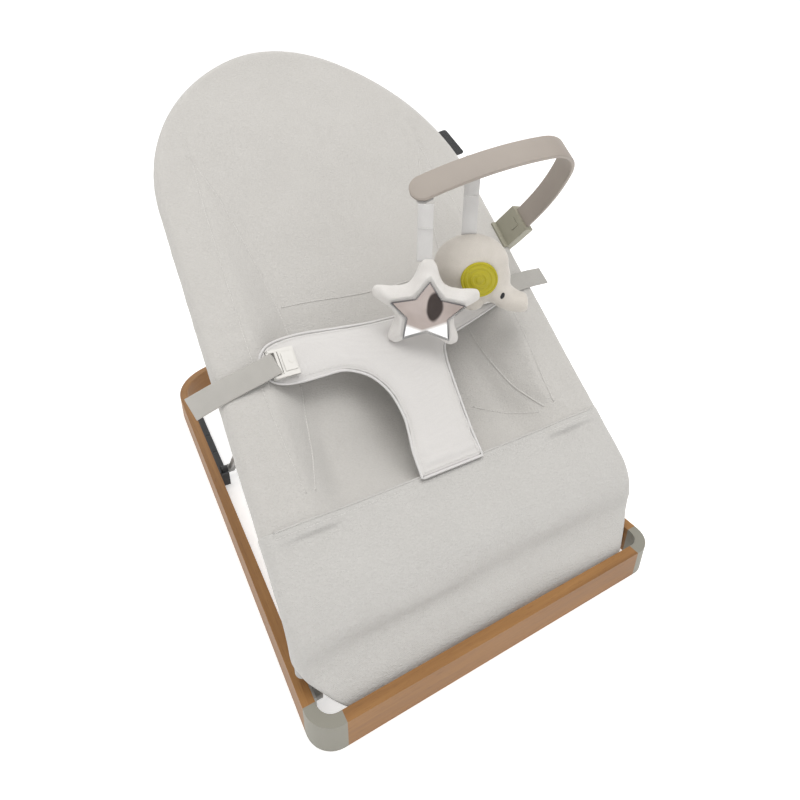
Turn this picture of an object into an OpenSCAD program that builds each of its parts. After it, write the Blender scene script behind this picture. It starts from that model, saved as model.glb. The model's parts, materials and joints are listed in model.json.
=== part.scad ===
// Baby bouncer seat: a bent-wood base with two plastic front corners, a steel
// seat hoop that folds down on two front hinges, a rear prop that slides along
// racks in the base, a fabric sling with a padded T harness, and a one-sided
// toy bar with a hanging star and elephant.
// Millimetres. +Z up, +Y towards the head end, origin on the floor under the
// centre of the base.

/* [Base] */
// Outer width of the base
base_w = 430; // [424:1:440]
// Outer length of the base
base_l = 670; // [655:1:690]
// Height of the wooden rails
rail_h = 35; // [32:1:38]
// Thickness of the wooden rails
rail_t = 12; // [11:1:13]
// Outer radius of the two bent back corners
back_r = 95; // [85:1:100]
// Outer radius of the plastic front corners
corner_r = 27; // [25:1:29]
// Length of each leg of a plastic corner
corner_leg = 30; // [30:1:34]
// How far the rubber feet stand out under the rails
foot_proud = 1; // [1:0.5:1.5]

/* [Seat frame] */
// Angle of the seat above the floor
recline = 38.4; // [37:0.2:40]
// Outer diameter of the seat tube
tube_d = 16; // [15:1:16]
// Wall thickness of the seat tube
tube_wall = 1.5; // [1.2:0.1:1.8]
// Half the width of the seat hoop, to the tube's centre
seat_half_w = 204; // [204:1:206]
// Distance from the base's front face to the front legs' centre
leg_y = 53; // [52:1:55]
// Bend radius of the knee
knee_r = 57; // [54:1:58]
// Height of the knee bend's centre
knee_z = 72.3; // [71:0.5:74]
// Straight run of the side tubes above the knee
side_run = 433; // [425:1:440]
// Length of the rounded head end
head_rise = 246; // [240:1:250]
// Bend radius at the sides of the head end
head_side_r = 260; // [256:1:270]

/* [Fold and prop] */
// Height of the front hinge axis
hinge_z = 19; // [18:0.5:20]
// Place of the prop pivots along the side tubes
prop_run = 180; // [170:1:182]
// Distance of the prop pivots below the side tubes' centre
prop_drop = 14; // [13:0.5:15]
// Diameter of the prop's rods
rod_d = 8; // [7:1:8]
// Place of the flex line along the side tubes
flex_run = 200; // [198:1:204]

/* [Fabric] */
// Outer radius of the fabric sleeve round the seat tube
sleeve_r = 10; // [9.8:0.1:10.2]
// Thickness of the fabric sheets
cloth_t = 1.5; // [1.2:0.1:1.6]
// Place of the seam between front panel and seat, along the side tubes
seam_run = 59; // [56:1:62]
// Greatest depth of the seat's bucket
bucket_depth = 60; // [50:1:62]

/* [Toy bar] */
// Place of the clamp along the right side tube
clamp_run = 321; // [310:1:330]
// Width of the toy bar's band
band_w = 30; // [28:1:30]
// Thickness of the toy bar's band
band_t = 5; // [4:0.5:5]
// Radius of the star, from its centre to a tip
star_r = 60; // [55:1:61]

/* [Hidden] */
$fn = 96;
eps = 0.01;
front = -base_l/2;
tube_r = tube_d/2;
rod_r = rod_d/2;
rail_inner = base_w/2 - rail_t;
floor_z = foot_proud;
deck_z = floor_z + rail_h;

// Seat plane: l runs up the side tubes from the end of the knee, n is square to it
knee_y = leg_y + knee_r;
seat_y0 = knee_y + knee_r*cos(90 + recline);
seat_z0 = knee_z + knee_r*sin(90 + recline);
function seat_y(l, n) = seat_y0 + l*cos(recline) - n*sin(recline);
function seat_z(l, n) = seat_z0 + l*sin(recline) + n*cos(recline);

// Head end: two side arcs and one top arc, tangent to each other
head_top_r = (seat_half_w*seat_half_w + head_rise*head_rise - 2*seat_half_w*head_side_r)
           / (2*(head_rise - head_side_r));
head_side_x = seat_half_w - head_side_r;
head_top_l = side_run + head_rise - head_top_r;
head_angle = atan2(head_rise - head_top_r, -head_side_x);

// Prop: the pivots, and the foot that stays at the height of the front hinge
pivot_y = seat_y(prop_run, -prop_drop);
pivot_z = seat_z(prop_run, -prop_drop);
foot_y = leg_y + 2*(pivot_y - leg_y);
prop_len = norm([pivot_y - leg_y, pivot_z - hinge_z]);
prop_angle = atan2(pivot_z - hinge_z, pivot_y - leg_y);
prop_x = seat_half_w - 20.5;
foot_r = 5.5;
rack_top = hinge_z - foot_r - 0.3;

// Front hinge parts
arm_x0 = rail_inner - 11.5;
arm_x1 = rail_inner - 3.5;
plate_t = 3;
hinge_pin_r = 4;
pivot_pin_r = 3;
fit = 0.05;
arm_half = 8;
collar_z0 = 50;
collar_z1 = 60;
spigot_z1 = 72;
cross_z = 46;
cross_r = 6;

// Sling: half-width inside the sleeve, and the surface's depth
sling_gap = 0.6;
split_gap = 1.5;
sling_half_w = seat_half_w - sleeve_r - sling_gap;
edge_n = 4;
function sling_w(l) =
    let(r1 = head_side_r - sleeve_r - sling_gap, r2 = head_top_r - sleeve_r - sling_gap)
    l <= side_run ? sling_half_w
    : l <= head_top_l + r2*sin(head_angle) ? head_side_x + sqrt(r1*r1 - pow(l - side_run, 2))
    : sqrt(max(0, r2*r2 - pow(l - head_top_l, 2)));
function bucket(l) = let(u = max(0, l - 40)/95) pow(u*exp(1 - u), 1.6);
function sag(l) = bucket_depth*bucket(l) + 20*sin(180*(l - seam_run)/(head_top_l + head_top_r - seam_run));
function sling_n(x, l) =
    let(w = sling_w(l)) edge_n - sag(l)*(1 - pow(min(1, abs(x)/w), 2.4));

// Harness
pad_t = 7;
crotch_l0 = 62;
waist_l = 226;
wing_x = 157;
strap_w = 25;
strap_end = 242;
function pad_n(x) = -15.5 + 17.5*pow(abs(x)/wing_x, 2);
buckle_x = 141;
strap_n = 10.8;
strap_t = 3;

// Toy bar: a stem and three arcs in a plane square to the side tube
mouth = [224, 46];
lean = 75;
arc_r = [189, 50, 351];
arc_a = [32, 78, 24];
head1 = lean + arc_a[0];
head2 = head1 + arc_a[1];
head3 = head2 + arc_a[2];
function left_of(p, r, h) = [p[0] - r*sin(h), p[1] + r*cos(h)];
function arc_end(c, r, h) = [c[0] + r*sin(h), c[1] - r*cos(h)];
c1 = left_of(mouth, arc_r[0], lean);
p1 = arc_end(c1, arc_r[0], head1);
c2 = left_of(p1, arc_r[1], head1);
p2 = arc_end(c2, arc_r[1], head2);
c3 = left_of(p2, arc_r[2], head2);
p3 = arc_end(c3, arc_r[2], head3);
tail_len = 4;
socket_depth = 20;
// Height of the band's centre line over the seat plane, where the toys hang
function band_n(x) = c3[1] + sqrt(arc_r[2]*arc_r[2] - pow(x - c3[0], 2));
star_x = 24;
elephant_x = 88;
loop_t = 1.2;
function hang_y(x, side) = seat_y(clamp_run + side*(band_w/2 + loop_t), band_n(x));
function hang_z(x, side) = seat_z(clamp_run + side*(band_w/2 + loop_t), band_n(x)) - band_t/2;
star_y = hang_y(star_x, -1);
star_top = hang_z(star_x, -1) - 6;
star_z = star_top - 110;
toy_turn = -30;
elephant_y = hang_y(elephant_x, 1);
elephant_top = hang_z(elephant_x, 1) - 6;
elephant_z = elephant_top - 118;

// ---------- shared shapes ----------

module both_sides() {
    children();
    mirror([1, 0, 0]) children();
}

// Children drawn with y measured from the base's front face
module from_front() {
    translate([0, front, 0]) children();
}

// Children drawn in the seat plane: x across, y along l, z along n
module on_seat() {
    from_front() translate([0, seat_y0, seat_z0]) rotate([recline, 0, 0]) children();
}

// Extrudes an outline drawn in (y, z) along x, from x0 to x1
module along_x(x0, x1) {
    translate([x0, 0, 0]) rotate([90, 0, 90]) linear_extrude(x1 - x0) children();
}

// A pin or rod along x through (y, z)
module rod_x(x0, x1, y, z, r) {
    translate([x0, y, z]) rotate([0, 90, 0]) cylinder(h = x1 - x0, r = r);
}

// Extrudes an outline drawn in the seat's (x, n) along l, from l0 to l1
module along_l(l0, l1) {
    on_seat() translate([0, l1, 0]) rotate([90, 0, 0]) linear_extrude(l1 - l0) children();
}

module ring(outer, inner) {
    difference() {
        circle(r = outer);
        circle(r = inner);
    }
}

module rounded_rect(w, h, r) {
    hull()
        for (sx = [-1, 1], sy = [-1, 1])
            translate([sx*(w/2 - r), sy*(h/2 - r)]) circle(r = r, $fn = 32);
}

// A tube along a path of [across, along, heading] stations, drawn flat
module swept_tube(path, outer, inner, sides = 20) {
    stations = len(path);
    function circle_points(r) = [for (p = path, k = [0:sides - 1]) let(b = 360*k/sides)
        [p[0] + r*cos(b)*cos(p[2]), p[1] + r*cos(b)*sin(p[2]), r*sin(b)]];
    function id(wall, i, k) = (wall*stations + i)*sides + k % sides;
    polyhedron(
        points = concat(circle_points(outer), circle_points(inner)),
        faces = concat(
            [for (i = [0:stations - 2], k = [0:sides - 1])
                [id(0, i, k), id(0, i, k + 1), id(0, i + 1, k + 1), id(0, i + 1, k)]],
            [for (i = [0:stations - 2], k = [0:sides - 1])
                [id(1, i, k), id(1, i + 1, k), id(1, i + 1, k + 1), id(1, i, k + 1)]],
            [for (k = [0:sides - 1])
                [id(0, 0, k), id(1, 0, k), id(1, 0, k + 1), id(0, 0, k + 1)]],
            [for (k = [0:sides - 1])
                [id(0, stations - 1, k), id(0, stations - 1, k + 1),
                 id(1, stations - 1, k + 1), id(1, stations - 1, k)]]
        )
    );
}

// Stations of an arc: centre, radius, first heading, turn and number of steps
function arc_path(cx, cy, r, h0, turn, steps) =
    [for (i = [0:steps]) let(h = h0 + turn*i/steps) [cx + r*cos(h), cy + r*sin(h), h]];

// Round the seat hoop, from l0 on the right side to l0 on the left
hoop_path = concat(
    [[seat_half_w, flex_run + split_gap, 0]],
    arc_path(head_side_x, side_run, head_side_r, 0, head_angle, 12),
    [for (p = arc_path(0, head_top_l, head_top_r, head_angle, 180 - 2*head_angle, 16))
        if (p[2] > head_angle && p[2] < 180 - head_angle) p],
    arc_path(-head_side_x, side_run, head_side_r, 180 - head_angle, head_angle, 12),
    [[-seat_half_w, flex_run + split_gap, 180]]
);

// Down the side tube, round the knee and down the front leg, in (y, z)
knee_path = concat(
    [[seat_y(flex_run - split_gap, 0), seat_z(flex_run - split_gap, 0), 90 + recline]],
    arc_path(knee_y, knee_z, knee_r, 90 + recline, 90 - recline, 10),
    [[leg_y, collar_z1, 180]]
);

// A closed sheet between two grids of points
module sheet(top, bottom) {
    rows = len(top);
    cols = len(top[0]);
    flat_top = [for (row = top, p = row) p];
    flat_bottom = [for (row = bottom, p = row) p];
    count = rows*cols;
    faces = concat(
        [for (i = [0:rows - 2], j = [0:cols - 2], k = [0, 1])
            let(a = i*cols + j, b = a + 1, c = a + cols, d = c + 1) k == 0 ? [a, c, d] : [a, d, b]],
        [for (i = [0:rows - 2], j = [0:cols - 2], k = [0, 1])
            let(a = count + i*cols + j, b = a + 1, c = a + cols, d = c + 1) k == 0 ? [a, d, c] : [a, b, d]],
        [for (j = [0:cols - 2], k = [0, 1])
            k == 0 ? [j, j + 1, count + j + 1] : [j, count + j + 1, count + j]],
        [for (j = [0:cols - 2], k = [0, 1]) let(a = (rows - 1)*cols + j)
            k == 0 ? [a, count + a, count + a + 1] : [a, count + a + 1, a + 1]],
        [for (i = [0:rows - 2], k = [0, 1]) let(a = i*cols, c = a + cols)
            k == 0 ? [a, count + a, count + c] : [a, count + c, c]],
        [for (i = [0:rows - 2], k = [0, 1]) let(a = i*cols + cols - 1, c = a + cols)
            k == 0 ? [a, c, count + c] : [a, count + c, count + a]]
    );
    polyhedron(points = concat(flat_top, flat_bottom), faces = faces);
}

// The sling between l0 and l1, as a sheet that is cloth_t*2 thick
module sling(l0, l1, rows, cols) {
    function row_l(i) = l0 + (l1 - l0)*i/rows;
    function col_x(l, j) = sling_w(l)*(2*j/cols - 1);
    on_seat() sheet(
        [for (i = [0:rows]) let(l = row_l(i)) [for (j = [0:cols]) [col_x(l, j), l, sling_n(col_x(l, j), l)]]],
        [for (i = [0:rows]) let(l = row_l(i)) [for (j = [0:cols])
            [col_x(l, j), l, sling_n(col_x(l, j), l) - 2*cloth_t]]]
    );
}

// ---------- base ----------

tenon_len = 20;
tenon_t = 6;
tenon_h = 21;
mortise_x = base_w/2 - rail_t/2;

module tenon(x, y, along_y) {
    size = along_y ? [tenon_t, tenon_len, tenon_h] : [tenon_len, tenon_t, tenon_h];
    translate([x - size[0]/2, y - size[1]/2, floor_z + (rail_h - tenon_h)/2]) cube(size);
}

// The four tenons of the two corners, in one place so that the mortises match
module tenons() {
    both_sides() {
        tenon(mortise_x, corner_leg + tenon_len/2, true);
        tenon(base_w/2 - corner_leg - tenon_len/2, rail_t/2, false);
    }
}

foot_w = 8;
foot_l = 44;
foot_depth = 2;

module foot_outline(x, y, turn) {
    translate([x, y]) rotate(turn) {
        square([foot_w, foot_l - foot_w], center = true);
        for (s = [-1, 1])
            translate([0, s*(foot_l - foot_w)/2]) circle(d = foot_w);
    }
}

module all_feet(z0, z1) {
    translate([0, 0, z0]) linear_extrude(z1 - z0) {
        both_sides() {
            foot_outline(mortise_x, 90, 0);
            foot_outline(mortise_x, base_l - 150, 0);
            foot_outline(70, base_l - rail_t/2, 90);
            foot_outline(120, rail_t/2, 90);
        }
    }
}

module corner_screw(shank) {
    both_sides()
        translate([rail_inner - eps, corner_leg + tenon_len/2, floor_z + rail_h/2]) rotate([0, 90, 0]) {
            cylinder(h = 1.8, r = shank + 1.6);
            cylinder(h = 9, r = shank);
        }
    both_sides()
        translate([base_w/2 - corner_leg - tenon_len/2, rail_t + eps, floor_z + rail_h/2]) rotate([90, 0, 0]) {
            cylinder(h = 1.8, r = shank + 1.6);
            cylinder(h = 9, r = shank);
        }
}

module hoop_outline(inset) {
    w = base_w/2 - inset;
    r = back_r - inset;
    translate([-w, corner_leg]) square([2*w, base_l - back_r - corner_leg]);
    translate([-(w - r), base_l - back_r - eps]) square([2*(w - r), r + eps]);
    for (s = [-1, 1])
        translate([s*(w - r), base_l - back_r]) circle(r = r);
}

// Bent laminated hoop: left rail, rounded back and right rail in one piece
module wood_hoop() {
    color("peru") from_front() difference() {
        translate([0, 0, floor_z]) linear_extrude(rail_h) difference() {
            hoop_outline(0);
            hoop_outline(rail_t);
            translate([-base_w, -base_w + corner_leg]) square([2*base_w, base_w]);
        }
        translate([-base_w, -1, 0]) cube([2*base_w, 1 + corner_leg, 2*rail_h]);
        tenons();
        all_feet(0, floor_z + foot_depth);
        corner_screw(1.5);
        plate_screw(1.5);
        rack_screw(1.5);
    }
}

module front_rail() {
    color("peru") from_front() difference() {
        translate([-(base_w/2 - corner_leg), 0, floor_z]) cube([base_w - 2*corner_leg, rail_t, rail_h]);
        tenons();
        all_feet(0, floor_z + foot_depth);
        corner_screw(1.5);
    }
}

// Quarter-round corner with a short straight leg and a tenon at each end
module corner_piece() {
    difference() {
        union() {
            translate([base_w/2 - corner_r, corner_r, floor_z]) rotate([0, 0, -90])
                rotate_extrude(angle = 90)
                translate([corner_r - rail_t, 0]) square([rail_t, rail_h]);
            translate([rail_inner, corner_r, floor_z]) cube([rail_t, corner_leg - corner_r, rail_h]);
            translate([base_w/2 - corner_leg, 0, floor_z]) cube([corner_leg - corner_r, rail_t, rail_h]);
            tenon(mortise_x, corner_leg + tenon_len/2 - eps, true);
            tenon(base_w/2 - corner_leg - tenon_len/2 + eps, rail_t/2, false);
        }
        corner_screw(1.5);
        plate_screw(1.5);
    }
}

module corner_left() {
    color("darkkhaki") from_front() mirror([1, 0, 0]) corner_piece();
}

module corner_right() {
    color("darkkhaki") from_front() corner_piece();
}

module corner_screws() {
    color("silver") from_front() corner_screw(1.5);
}

module foot_pads() {
    color("dimgray") from_front() all_feet(0, floor_z + foot_depth);
}

// Steel plates on the inner faces of the side rails, which hold the front hinge pins
plate_screw_places = [[-13, 7.5], [13, 7.5], [-13, -7.5], [13, -7.5]];

module hinge_plates() {
    color("silver") from_front() both_sides() difference() {
        translate([rail_inner - plate_t, leg_y + 2 - 20, hinge_z - 13]) cube([plate_t, 40, 26]);
        rod_x(rail_inner - 2*plate_t, rail_inner + 1, leg_y, hinge_z, hinge_pin_r);
        plate_screw(1.5);
        corner_screw(1.5);
    }
}

module plate_screw(shank) {
    both_sides()
        for (p = plate_screw_places)
            translate([rail_inner - plate_t, leg_y + 2 + p[0], hinge_z + p[1]]) rotate([0, 90, 0]) {
                cylinder(h = 1.2, r = shank + 1.3);
                cylinder(h = 11, r = shank);
            }
}

module plate_screws() {
    color("gainsboro") from_front() plate_screw(1.5);
}

module hinge_pins() {
    color("gray") from_front() both_sides() {
        rod_x(arm_x0 - 0.5, rail_inner, leg_y, hinge_z, hinge_pin_r);
        rod_x(arm_x0 - 2.5, arm_x0 - 0.5, leg_y, hinge_z, hinge_pin_r + 2.5);
    }
}

// Racks: an angle strip on each side rail, with a ledge that has shallow rests
rack_y0 = 376;
rack_y1 = 575;
rack_ledge = 13;
rack_t = 3;
rest_angles = [0, 8, 16];
function rest_y(a) = leg_y + 2*prop_len*cos(prop_angle - a);

module rack_piece() {
    difference() {
        union() {
            translate([rail_inner - rack_t, rack_y0, 7]) cube([rack_t, rack_y1 - rack_y0, 25]);
            translate([rail_inner - rack_ledge, rack_y0, 7]) cube([rack_ledge, rack_y1 - rack_y0, rack_top - 7]);
            translate([rail_inner - rack_ledge, rack_y0, 7]) cube([rack_ledge, 4, 19]);
        }
        for (a = rest_angles)
            rod_x(rail_inner - rack_ledge - 1, rail_inner - rack_t, rest_y(a), hinge_z - 1, foot_r + 0.1);
        rack_screw(1.5);
    }
}

module rack_screw(shank) {
    both_sides()
        for (y = [rack_y0 + 30, (rack_y0 + rack_y1)/2, rack_y1 - 20])
            translate([rail_inner - rack_t, y, 27.5]) rotate([0, 90, 0]) {
                cylinder(h = 1.2, r = shank + 1.3);
                cylinder(h = 11, r = shank);
            }
}

module rack_right() {
    color("dimgray") from_front() rack_piece();
}

module rack_left() {
    color("dimgray") from_front() mirror([1, 0, 0]) rack_piece();
}

module rack_screws() {
    color("gainsboro") from_front() rack_screw(1.5);
}

// ---------- cradle: the lower seat frame that turns on the front hinge ----------

module hinge_arm() {
    difference() {
        union() {
            rod_x(arm_x0, arm_x1, leg_y, hinge_z, 12);
            along_x(arm_x0, arm_x1) translate([leg_y - arm_half, hinge_z]) square([2*arm_half, collar_z1 - hinge_z]);
            translate([seat_half_w, leg_y, collar_z0]) cylinder(h = collar_z1 - collar_z0, r = tube_r);
            translate([seat_half_w, leg_y, collar_z1 - eps])
                cylinder(h = spigot_z1 - collar_z1, r = tube_r - tube_wall - 0.2);
        }
        rod_x(arm_x0 - 1, arm_x1 + 1, leg_y, hinge_z, hinge_pin_r + fit);
        rod_x(arm_x0 - 1, arm_x0 + 4, leg_y, cross_z, cross_r);
    }
}

module hinge_arm_right() {
    color("darkgray") from_front() hinge_arm();
}

module hinge_arm_left() {
    color("darkgray") from_front() mirror([1, 0, 0]) hinge_arm();
}

module front_cross_tube() {
    color("silver") from_front() difference() {
        rod_x(-arm_x0 - 4, arm_x0 + 4, leg_y, cross_z, cross_r);
        rod_x(-arm_x0 - 5, arm_x0 + 5, leg_y, cross_z, cross_r - 1.2);
    }
}

// Front leg, knee bend and lower side tube, up to the flex line
module knee_tube() {
    from_front() translate([seat_half_w, 0, 0]) rotate([90, 0, 90])
        swept_tube(knee_path, tube_r, tube_r - tube_wall);
}

module knee_tube_right() {
    color("silver") knee_tube();
}

module knee_tube_left() {
    color("silver") mirror([1, 0, 0]) knee_tube();
}

// Clamp round the side tube with an ear that holds the prop's pivot pin
ear_x0 = prop_x + 4.5;
ear_x1 = prop_x + 10;

module prop_bracket() {
    difference() {
        union() {
            along_l(prop_run - 11, prop_run + 11) translate([seat_half_w, 0])
                ring(tube_r + 1.8, tube_r);
            on_seat() translate([ear_x0, prop_run - 8, -prop_drop]) cube([ear_x1 - ear_x0, 16, prop_drop]);
            on_seat() rod_x(ear_x0, ear_x1, prop_run, -prop_drop, 8);
        }
        along_l(prop_run - 12, prop_run + 12) translate([seat_half_w, 0]) circle(r = tube_r);
        on_seat() rod_x(ear_x0 - 1, ear_x1 + 1, prop_run, -prop_drop, pivot_pin_r);
    }
}

module prop_bracket_right() {
    color("dimgray") prop_bracket();
}

module prop_bracket_left() {
    color("dimgray") mirror([1, 0, 0]) prop_bracket();
}

module prop_pivot_pins() {
    color("gainsboro") both_sides() on_seat() {
        rod_x(prop_x - 4.5, ear_x1, prop_run, -prop_drop, pivot_pin_r);
        rod_x(prop_x - 6.5, prop_x - 4.5, prop_run, -prop_drop, pivot_pin_r + 2.5);
    }
}

// Front panel: from the legs round the knee to the seam, drawn in (y, z)
module panel_profile() {
    outer = knee_r + sleeve_r;
    inner = outer - cloth_t;
    translate([leg_y - sleeve_r, 52]) square([cloth_t, knee_z - 52]);
    translate([knee_y, knee_z]) difference() {
        circle(r = outer);
        circle(r = inner);
        translate([-outer, -2*outer]) square([2*outer, 2*outer]);
        rotate(90 + recline) translate([-2*outer, -3*outer]) square([4*outer, 3*outer]);
    }
    translate([knee_y, knee_z]) rotate(recline) translate([-eps, inner]) square([seam_run, cloth_t]);
}

// The panel's loose lower edge leans forward, down behind the front rail
hem_half = 184;
hem_y = 17;
hem_z = 27;
module hem_profile() {
    front = leg_y - sleeve_r;
    polygon([[front, 58], [front + cloth_t, 58], [front + cloth_t, 53], [hem_y + cloth_t, hem_z], [hem_y, hem_z]]);
}

module front_panel() {
    color("whitesmoke") from_front() {
        along_x(-(seat_half_w + sleeve_r - 1), seat_half_w + sleeve_r - 1) panel_profile();
        along_x(-hem_half, hem_half) hem_profile();
    }
}

sleeve_in = tube_r + 0.4;

module lower_sleeves() {
    color("white") both_sides() difference() {
        along_l(seam_run + 1, flex_run - split_gap) translate([seat_half_w, 0]) ring(sleeve_r, sleeve_in);
        along_l(prop_run - 12, prop_run + 12) translate([seat_half_w - 18, -26]) square([36, 29]);
        along_l(prop_run - 12, prop_run + 12) translate([seat_half_w, 0]) circle(r = tube_r + 2);
    }
}

// Sling of the seat, notched at each edge round the prop's bracket
module seat_sling() {
    color("whitesmoke") difference() {
        sling(seam_run + 1, flex_run - split_gap, 8, 14);
        both_sides() on_seat() translate([prop_x - 9, prop_run - 12, -40]) cube([40, 24, 60]);
    }
}

// Crotch part of the harness pad: a slightly waisted strip from the seam to the waist pad
module crotch_pad() {
    color("white") difference() {
        on_seat() translate([0, 0, pad_n(0) - 8]) linear_extrude(20)
            polygon([[-42, crotch_l0], [42, crotch_l0], [33, 130], [46, flex_run - split_gap],
                     [-46, flex_run - split_gap], [-33, 130]]);
        along_l(crotch_l0 - 1, flex_run) translate([-100, pad_n(0) + pad_t]) square([200, 40]);
        along_l(crotch_l0 - 1, flex_run) translate([-100, pad_n(0) - 40]) square([200, 40]);
    }
}

// ---------- prop: two legs and a cross bar whose feet run on the racks ----------

module prop_leg() {
    eye_r = 6;
    difference() {
        union() {
            rod_x(prop_x - 4, prop_x + 4, pivot_y, pivot_z, 6.5);
            rod_x(prop_x - 4, prop_x + 4, foot_y, hinge_z, eye_r);
            translate([prop_x, pivot_y, pivot_z]) rotate([-90 - prop_angle, 0, 0])
                translate([0, 0, pivot_pin_r + 1.5]) cylinder(h = prop_len - rod_r - pivot_pin_r - 3, r = rod_r - 0.3);
        }
        rod_x(prop_x - 5, prop_x + 5, pivot_y, pivot_z, pivot_pin_r + fit);
        rod_x(prop_x - 5, prop_x + 5, foot_y, hinge_z, rod_r);
    }
}

module prop_leg_right() {
    color("silver") from_front() prop_leg();
}

module prop_leg_left() {
    color("silver") from_front() mirror([1, 0, 0]) prop_leg();
}

bar_end = rail_inner - 7.5;

module prop_cross_bar() {
    color("silver") from_front() rod_x(-bar_end, bar_end, foot_y, hinge_z, rod_r);
}

module prop_foot() {
    difference() {
        rod_x(prop_x + 5, bar_end + 1.5, foot_y, hinge_z, foot_r);
        rod_x(prop_x + 4, bar_end, foot_y, hinge_z, rod_r);
    }
}

module prop_foot_right() {
    color("dimgray") from_front() prop_foot();
}

module prop_foot_left() {
    color("dimgray") from_front() mirror([1, 0, 0]) prop_foot();
}

// ---------- backrest: the upper hoop that flexes about the flex line ----------

module upper_hoop() {
    color("silver") on_seat() swept_tube(hoop_path, tube_r, tube_r - tube_wall);
}

// Rubber-lined joiners plugged into the upper hoop's ends
module tube_joiners() {
    color("dimgray") both_sides() along_l(flex_run + split_gap, flex_run + 40)
        translate([seat_half_w, 0]) circle(r = tube_r - tube_wall - 0.2);
}

module upper_sleeve() {
    color("white") on_seat() swept_tube(hoop_path, sleeve_r, sleeve_in);
}

module back_sling() {
    color("whitesmoke") sling(flex_run + split_gap, head_top_l + head_top_r - sleeve_r - 4, 22, 14);
}

// Waist part of the harness pad: two wings that rise to the buckles, drawn in (x, n)
module waist_profile() {
    steps = 16;
    xs = [for (i = [0:steps]) wing_x*(2*i/steps - 1)];
    polygon(concat(
        [for (x = xs) [x, pad_n(x)]],
        [for (i = [0:steps]) [xs[steps - i], pad_n(xs[steps - i]) + pad_t]]
    ));
}

// The right wing's end sits a little further up the seat than the left one
function wing_l(side) = waist_l + (side > 0 ? 11 : 0);

module waist_pad() {
    wing_r = 23;
    color("white") intersection() {
        along_l(flex_run + split_gap, waist_l + 45) waist_profile();
        on_seat() translate([0, 0, -40]) linear_extrude(80) {
            translate([-46, flex_run]) square([92, 20]);
            for (s = [-1, 1]) hull() {
                translate([-30, waist_l - wing_r]) square([60, 2*wing_r]);
                translate([s*(wing_x - wing_r), wing_l(s)]) circle(r = wing_r);
            }
        }
    }
}

// Buckle: a frame with one slot and a release button, on top of the wing's end
buckle_n = 8.6;
buckle_t = 4.4;
slot_w = strap_w + 1.2;
function buckle_l(side) = waist_l + (side > 0 ? 17 : -8);

module buckle(side) {
    on_seat() translate([side*buckle_x, buckle_l(side), buckle_n]) difference() {
        linear_extrude(buckle_t) rounded_rect(30, 33, 4);
        translate([side*8 - 2.4, -slot_w/2, -1]) cube([4.8, slot_w, buckle_t + 2]);
        translate([-side*9, 0, buckle_t - 1.8]) cylinder(h = 3, r = 3.1);
    }
}

module buckle_right() {
    color("white") buckle(1);
}

module buckle_left() {
    color("white") buckle(-1);
}

module buckle_button(side) {
    on_seat() translate([side*(buckle_x - 9), buckle_l(side), buckle_n + buckle_t - 0.4]) cylinder(h = 1.8, r = 3);
}

module buckle_button_right() {
    color("white") buckle_button(1);
}

module buckle_button_left() {
    color("white") buckle_button(-1);
}

// Side strap: webbing hooked through the buckle's slot and laid over the sleeve
module side_strap_profile() {
    hook = buckle_x + 8 - 1.5;
    over = buckle_n + buckle_t + 0.3;
    polygon([[hook, buckle_n + 0.5], [hook + strap_t, buckle_n + 0.5], [hook + strap_t, over],
             [buckle_x + 15.5, over], [buckle_x + 19, strap_n], [strap_end, strap_n],
             [strap_end, strap_n + strap_t], [buckle_x + 19, strap_n + strap_t],
             [buckle_x + 15.5, over + strap_t], [hook, over + strap_t]]);
}

module side_strap(side) {
    mirror([side > 0 ? 0 : 1, 0, 0])
        along_l(buckle_l(side) - strap_w/2, buckle_l(side) + strap_w/2) side_strap_profile();
}

module side_strap_right() {
    color("ivory") side_strap(1);
}

module side_strap_left() {
    color("ivory") side_strap(-1);
}

// Blank woven tag sewn to the sleeve at the right of the head
module blank_tag() {
    tag_l = 494;
    tag_r = 4;
    color("black") on_seat()
        translate([head_side_x, side_run, 0]) rotate([0, 0, asin((tag_l - side_run)/head_side_r)])
        translate([head_side_r + sleeve_r + 0.2, 0, -0.8]) linear_extrude(1.6) hull() {
            translate([0, -24]) square([1, 48]);
            for (s = [-1, 1]) translate([19 - tag_r, s*(24 - tag_r)]) circle(r = tag_r);
        }
}

// ---------- clamp and toy bar ----------

clamp_w = 40;
clamp_wall = 3.5;
block_w = 15;

// Socket axis: through the mouth along the lean
module in_bar_plane(l0, l1) {
    along_l(l0, l1) children();
}

module at_mouth() {
    translate(mouth) rotate(lean - 90) children();
}

module clamp_profile() {
    difference() {
        union() {
            translate([seat_half_w, 0]) circle(r = sleeve_r + 0.3 + clamp_wall);
            hull() {
                at_mouth() translate([-block_w/2, -30]) square([block_w, 30]);
                translate([seat_half_w + 7, 0]) circle(r = 6, $fn = 32);
            }
        }
        translate([seat_half_w, 0]) circle(r = sleeve_r + 0.3);
        translate([seat_half_w - 40, -40]) square([37, 80]);
        translate([seat_half_w - 40, -40]) square([40, 40]);
    }
}

module clamp_body() {
    color("darkkhaki") difference() {
        in_bar_plane(clamp_run - clamp_w/2, clamp_run + clamp_w/2) clamp_profile();
        in_bar_plane(clamp_run - band_w/2 - 0.3, clamp_run + band_w/2 + 0.3)
            at_mouth() translate([-band_t/2 - 0.2, -socket_depth - 0.3]) square([band_t + 0.4, socket_depth + 5]);
        in_bar_plane(clamp_run - 7, clamp_run + 7)
            at_mouth() translate([-block_w/2 - 1, -19]) square([3.6, 12]);
        in_bar_plane(clamp_run - 3, clamp_run + 3)
            at_mouth() translate([block_w/2 - 3, -26]) square([6, 6]);
    }
}

module clamp_screw() {
    color("silver") in_bar_plane(clamp_run - 2.9, clamp_run + 2.9)
        at_mouth() translate([block_w/2 - 2.9, -25.9]) square([2.9, 5.8]);
}

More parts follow.
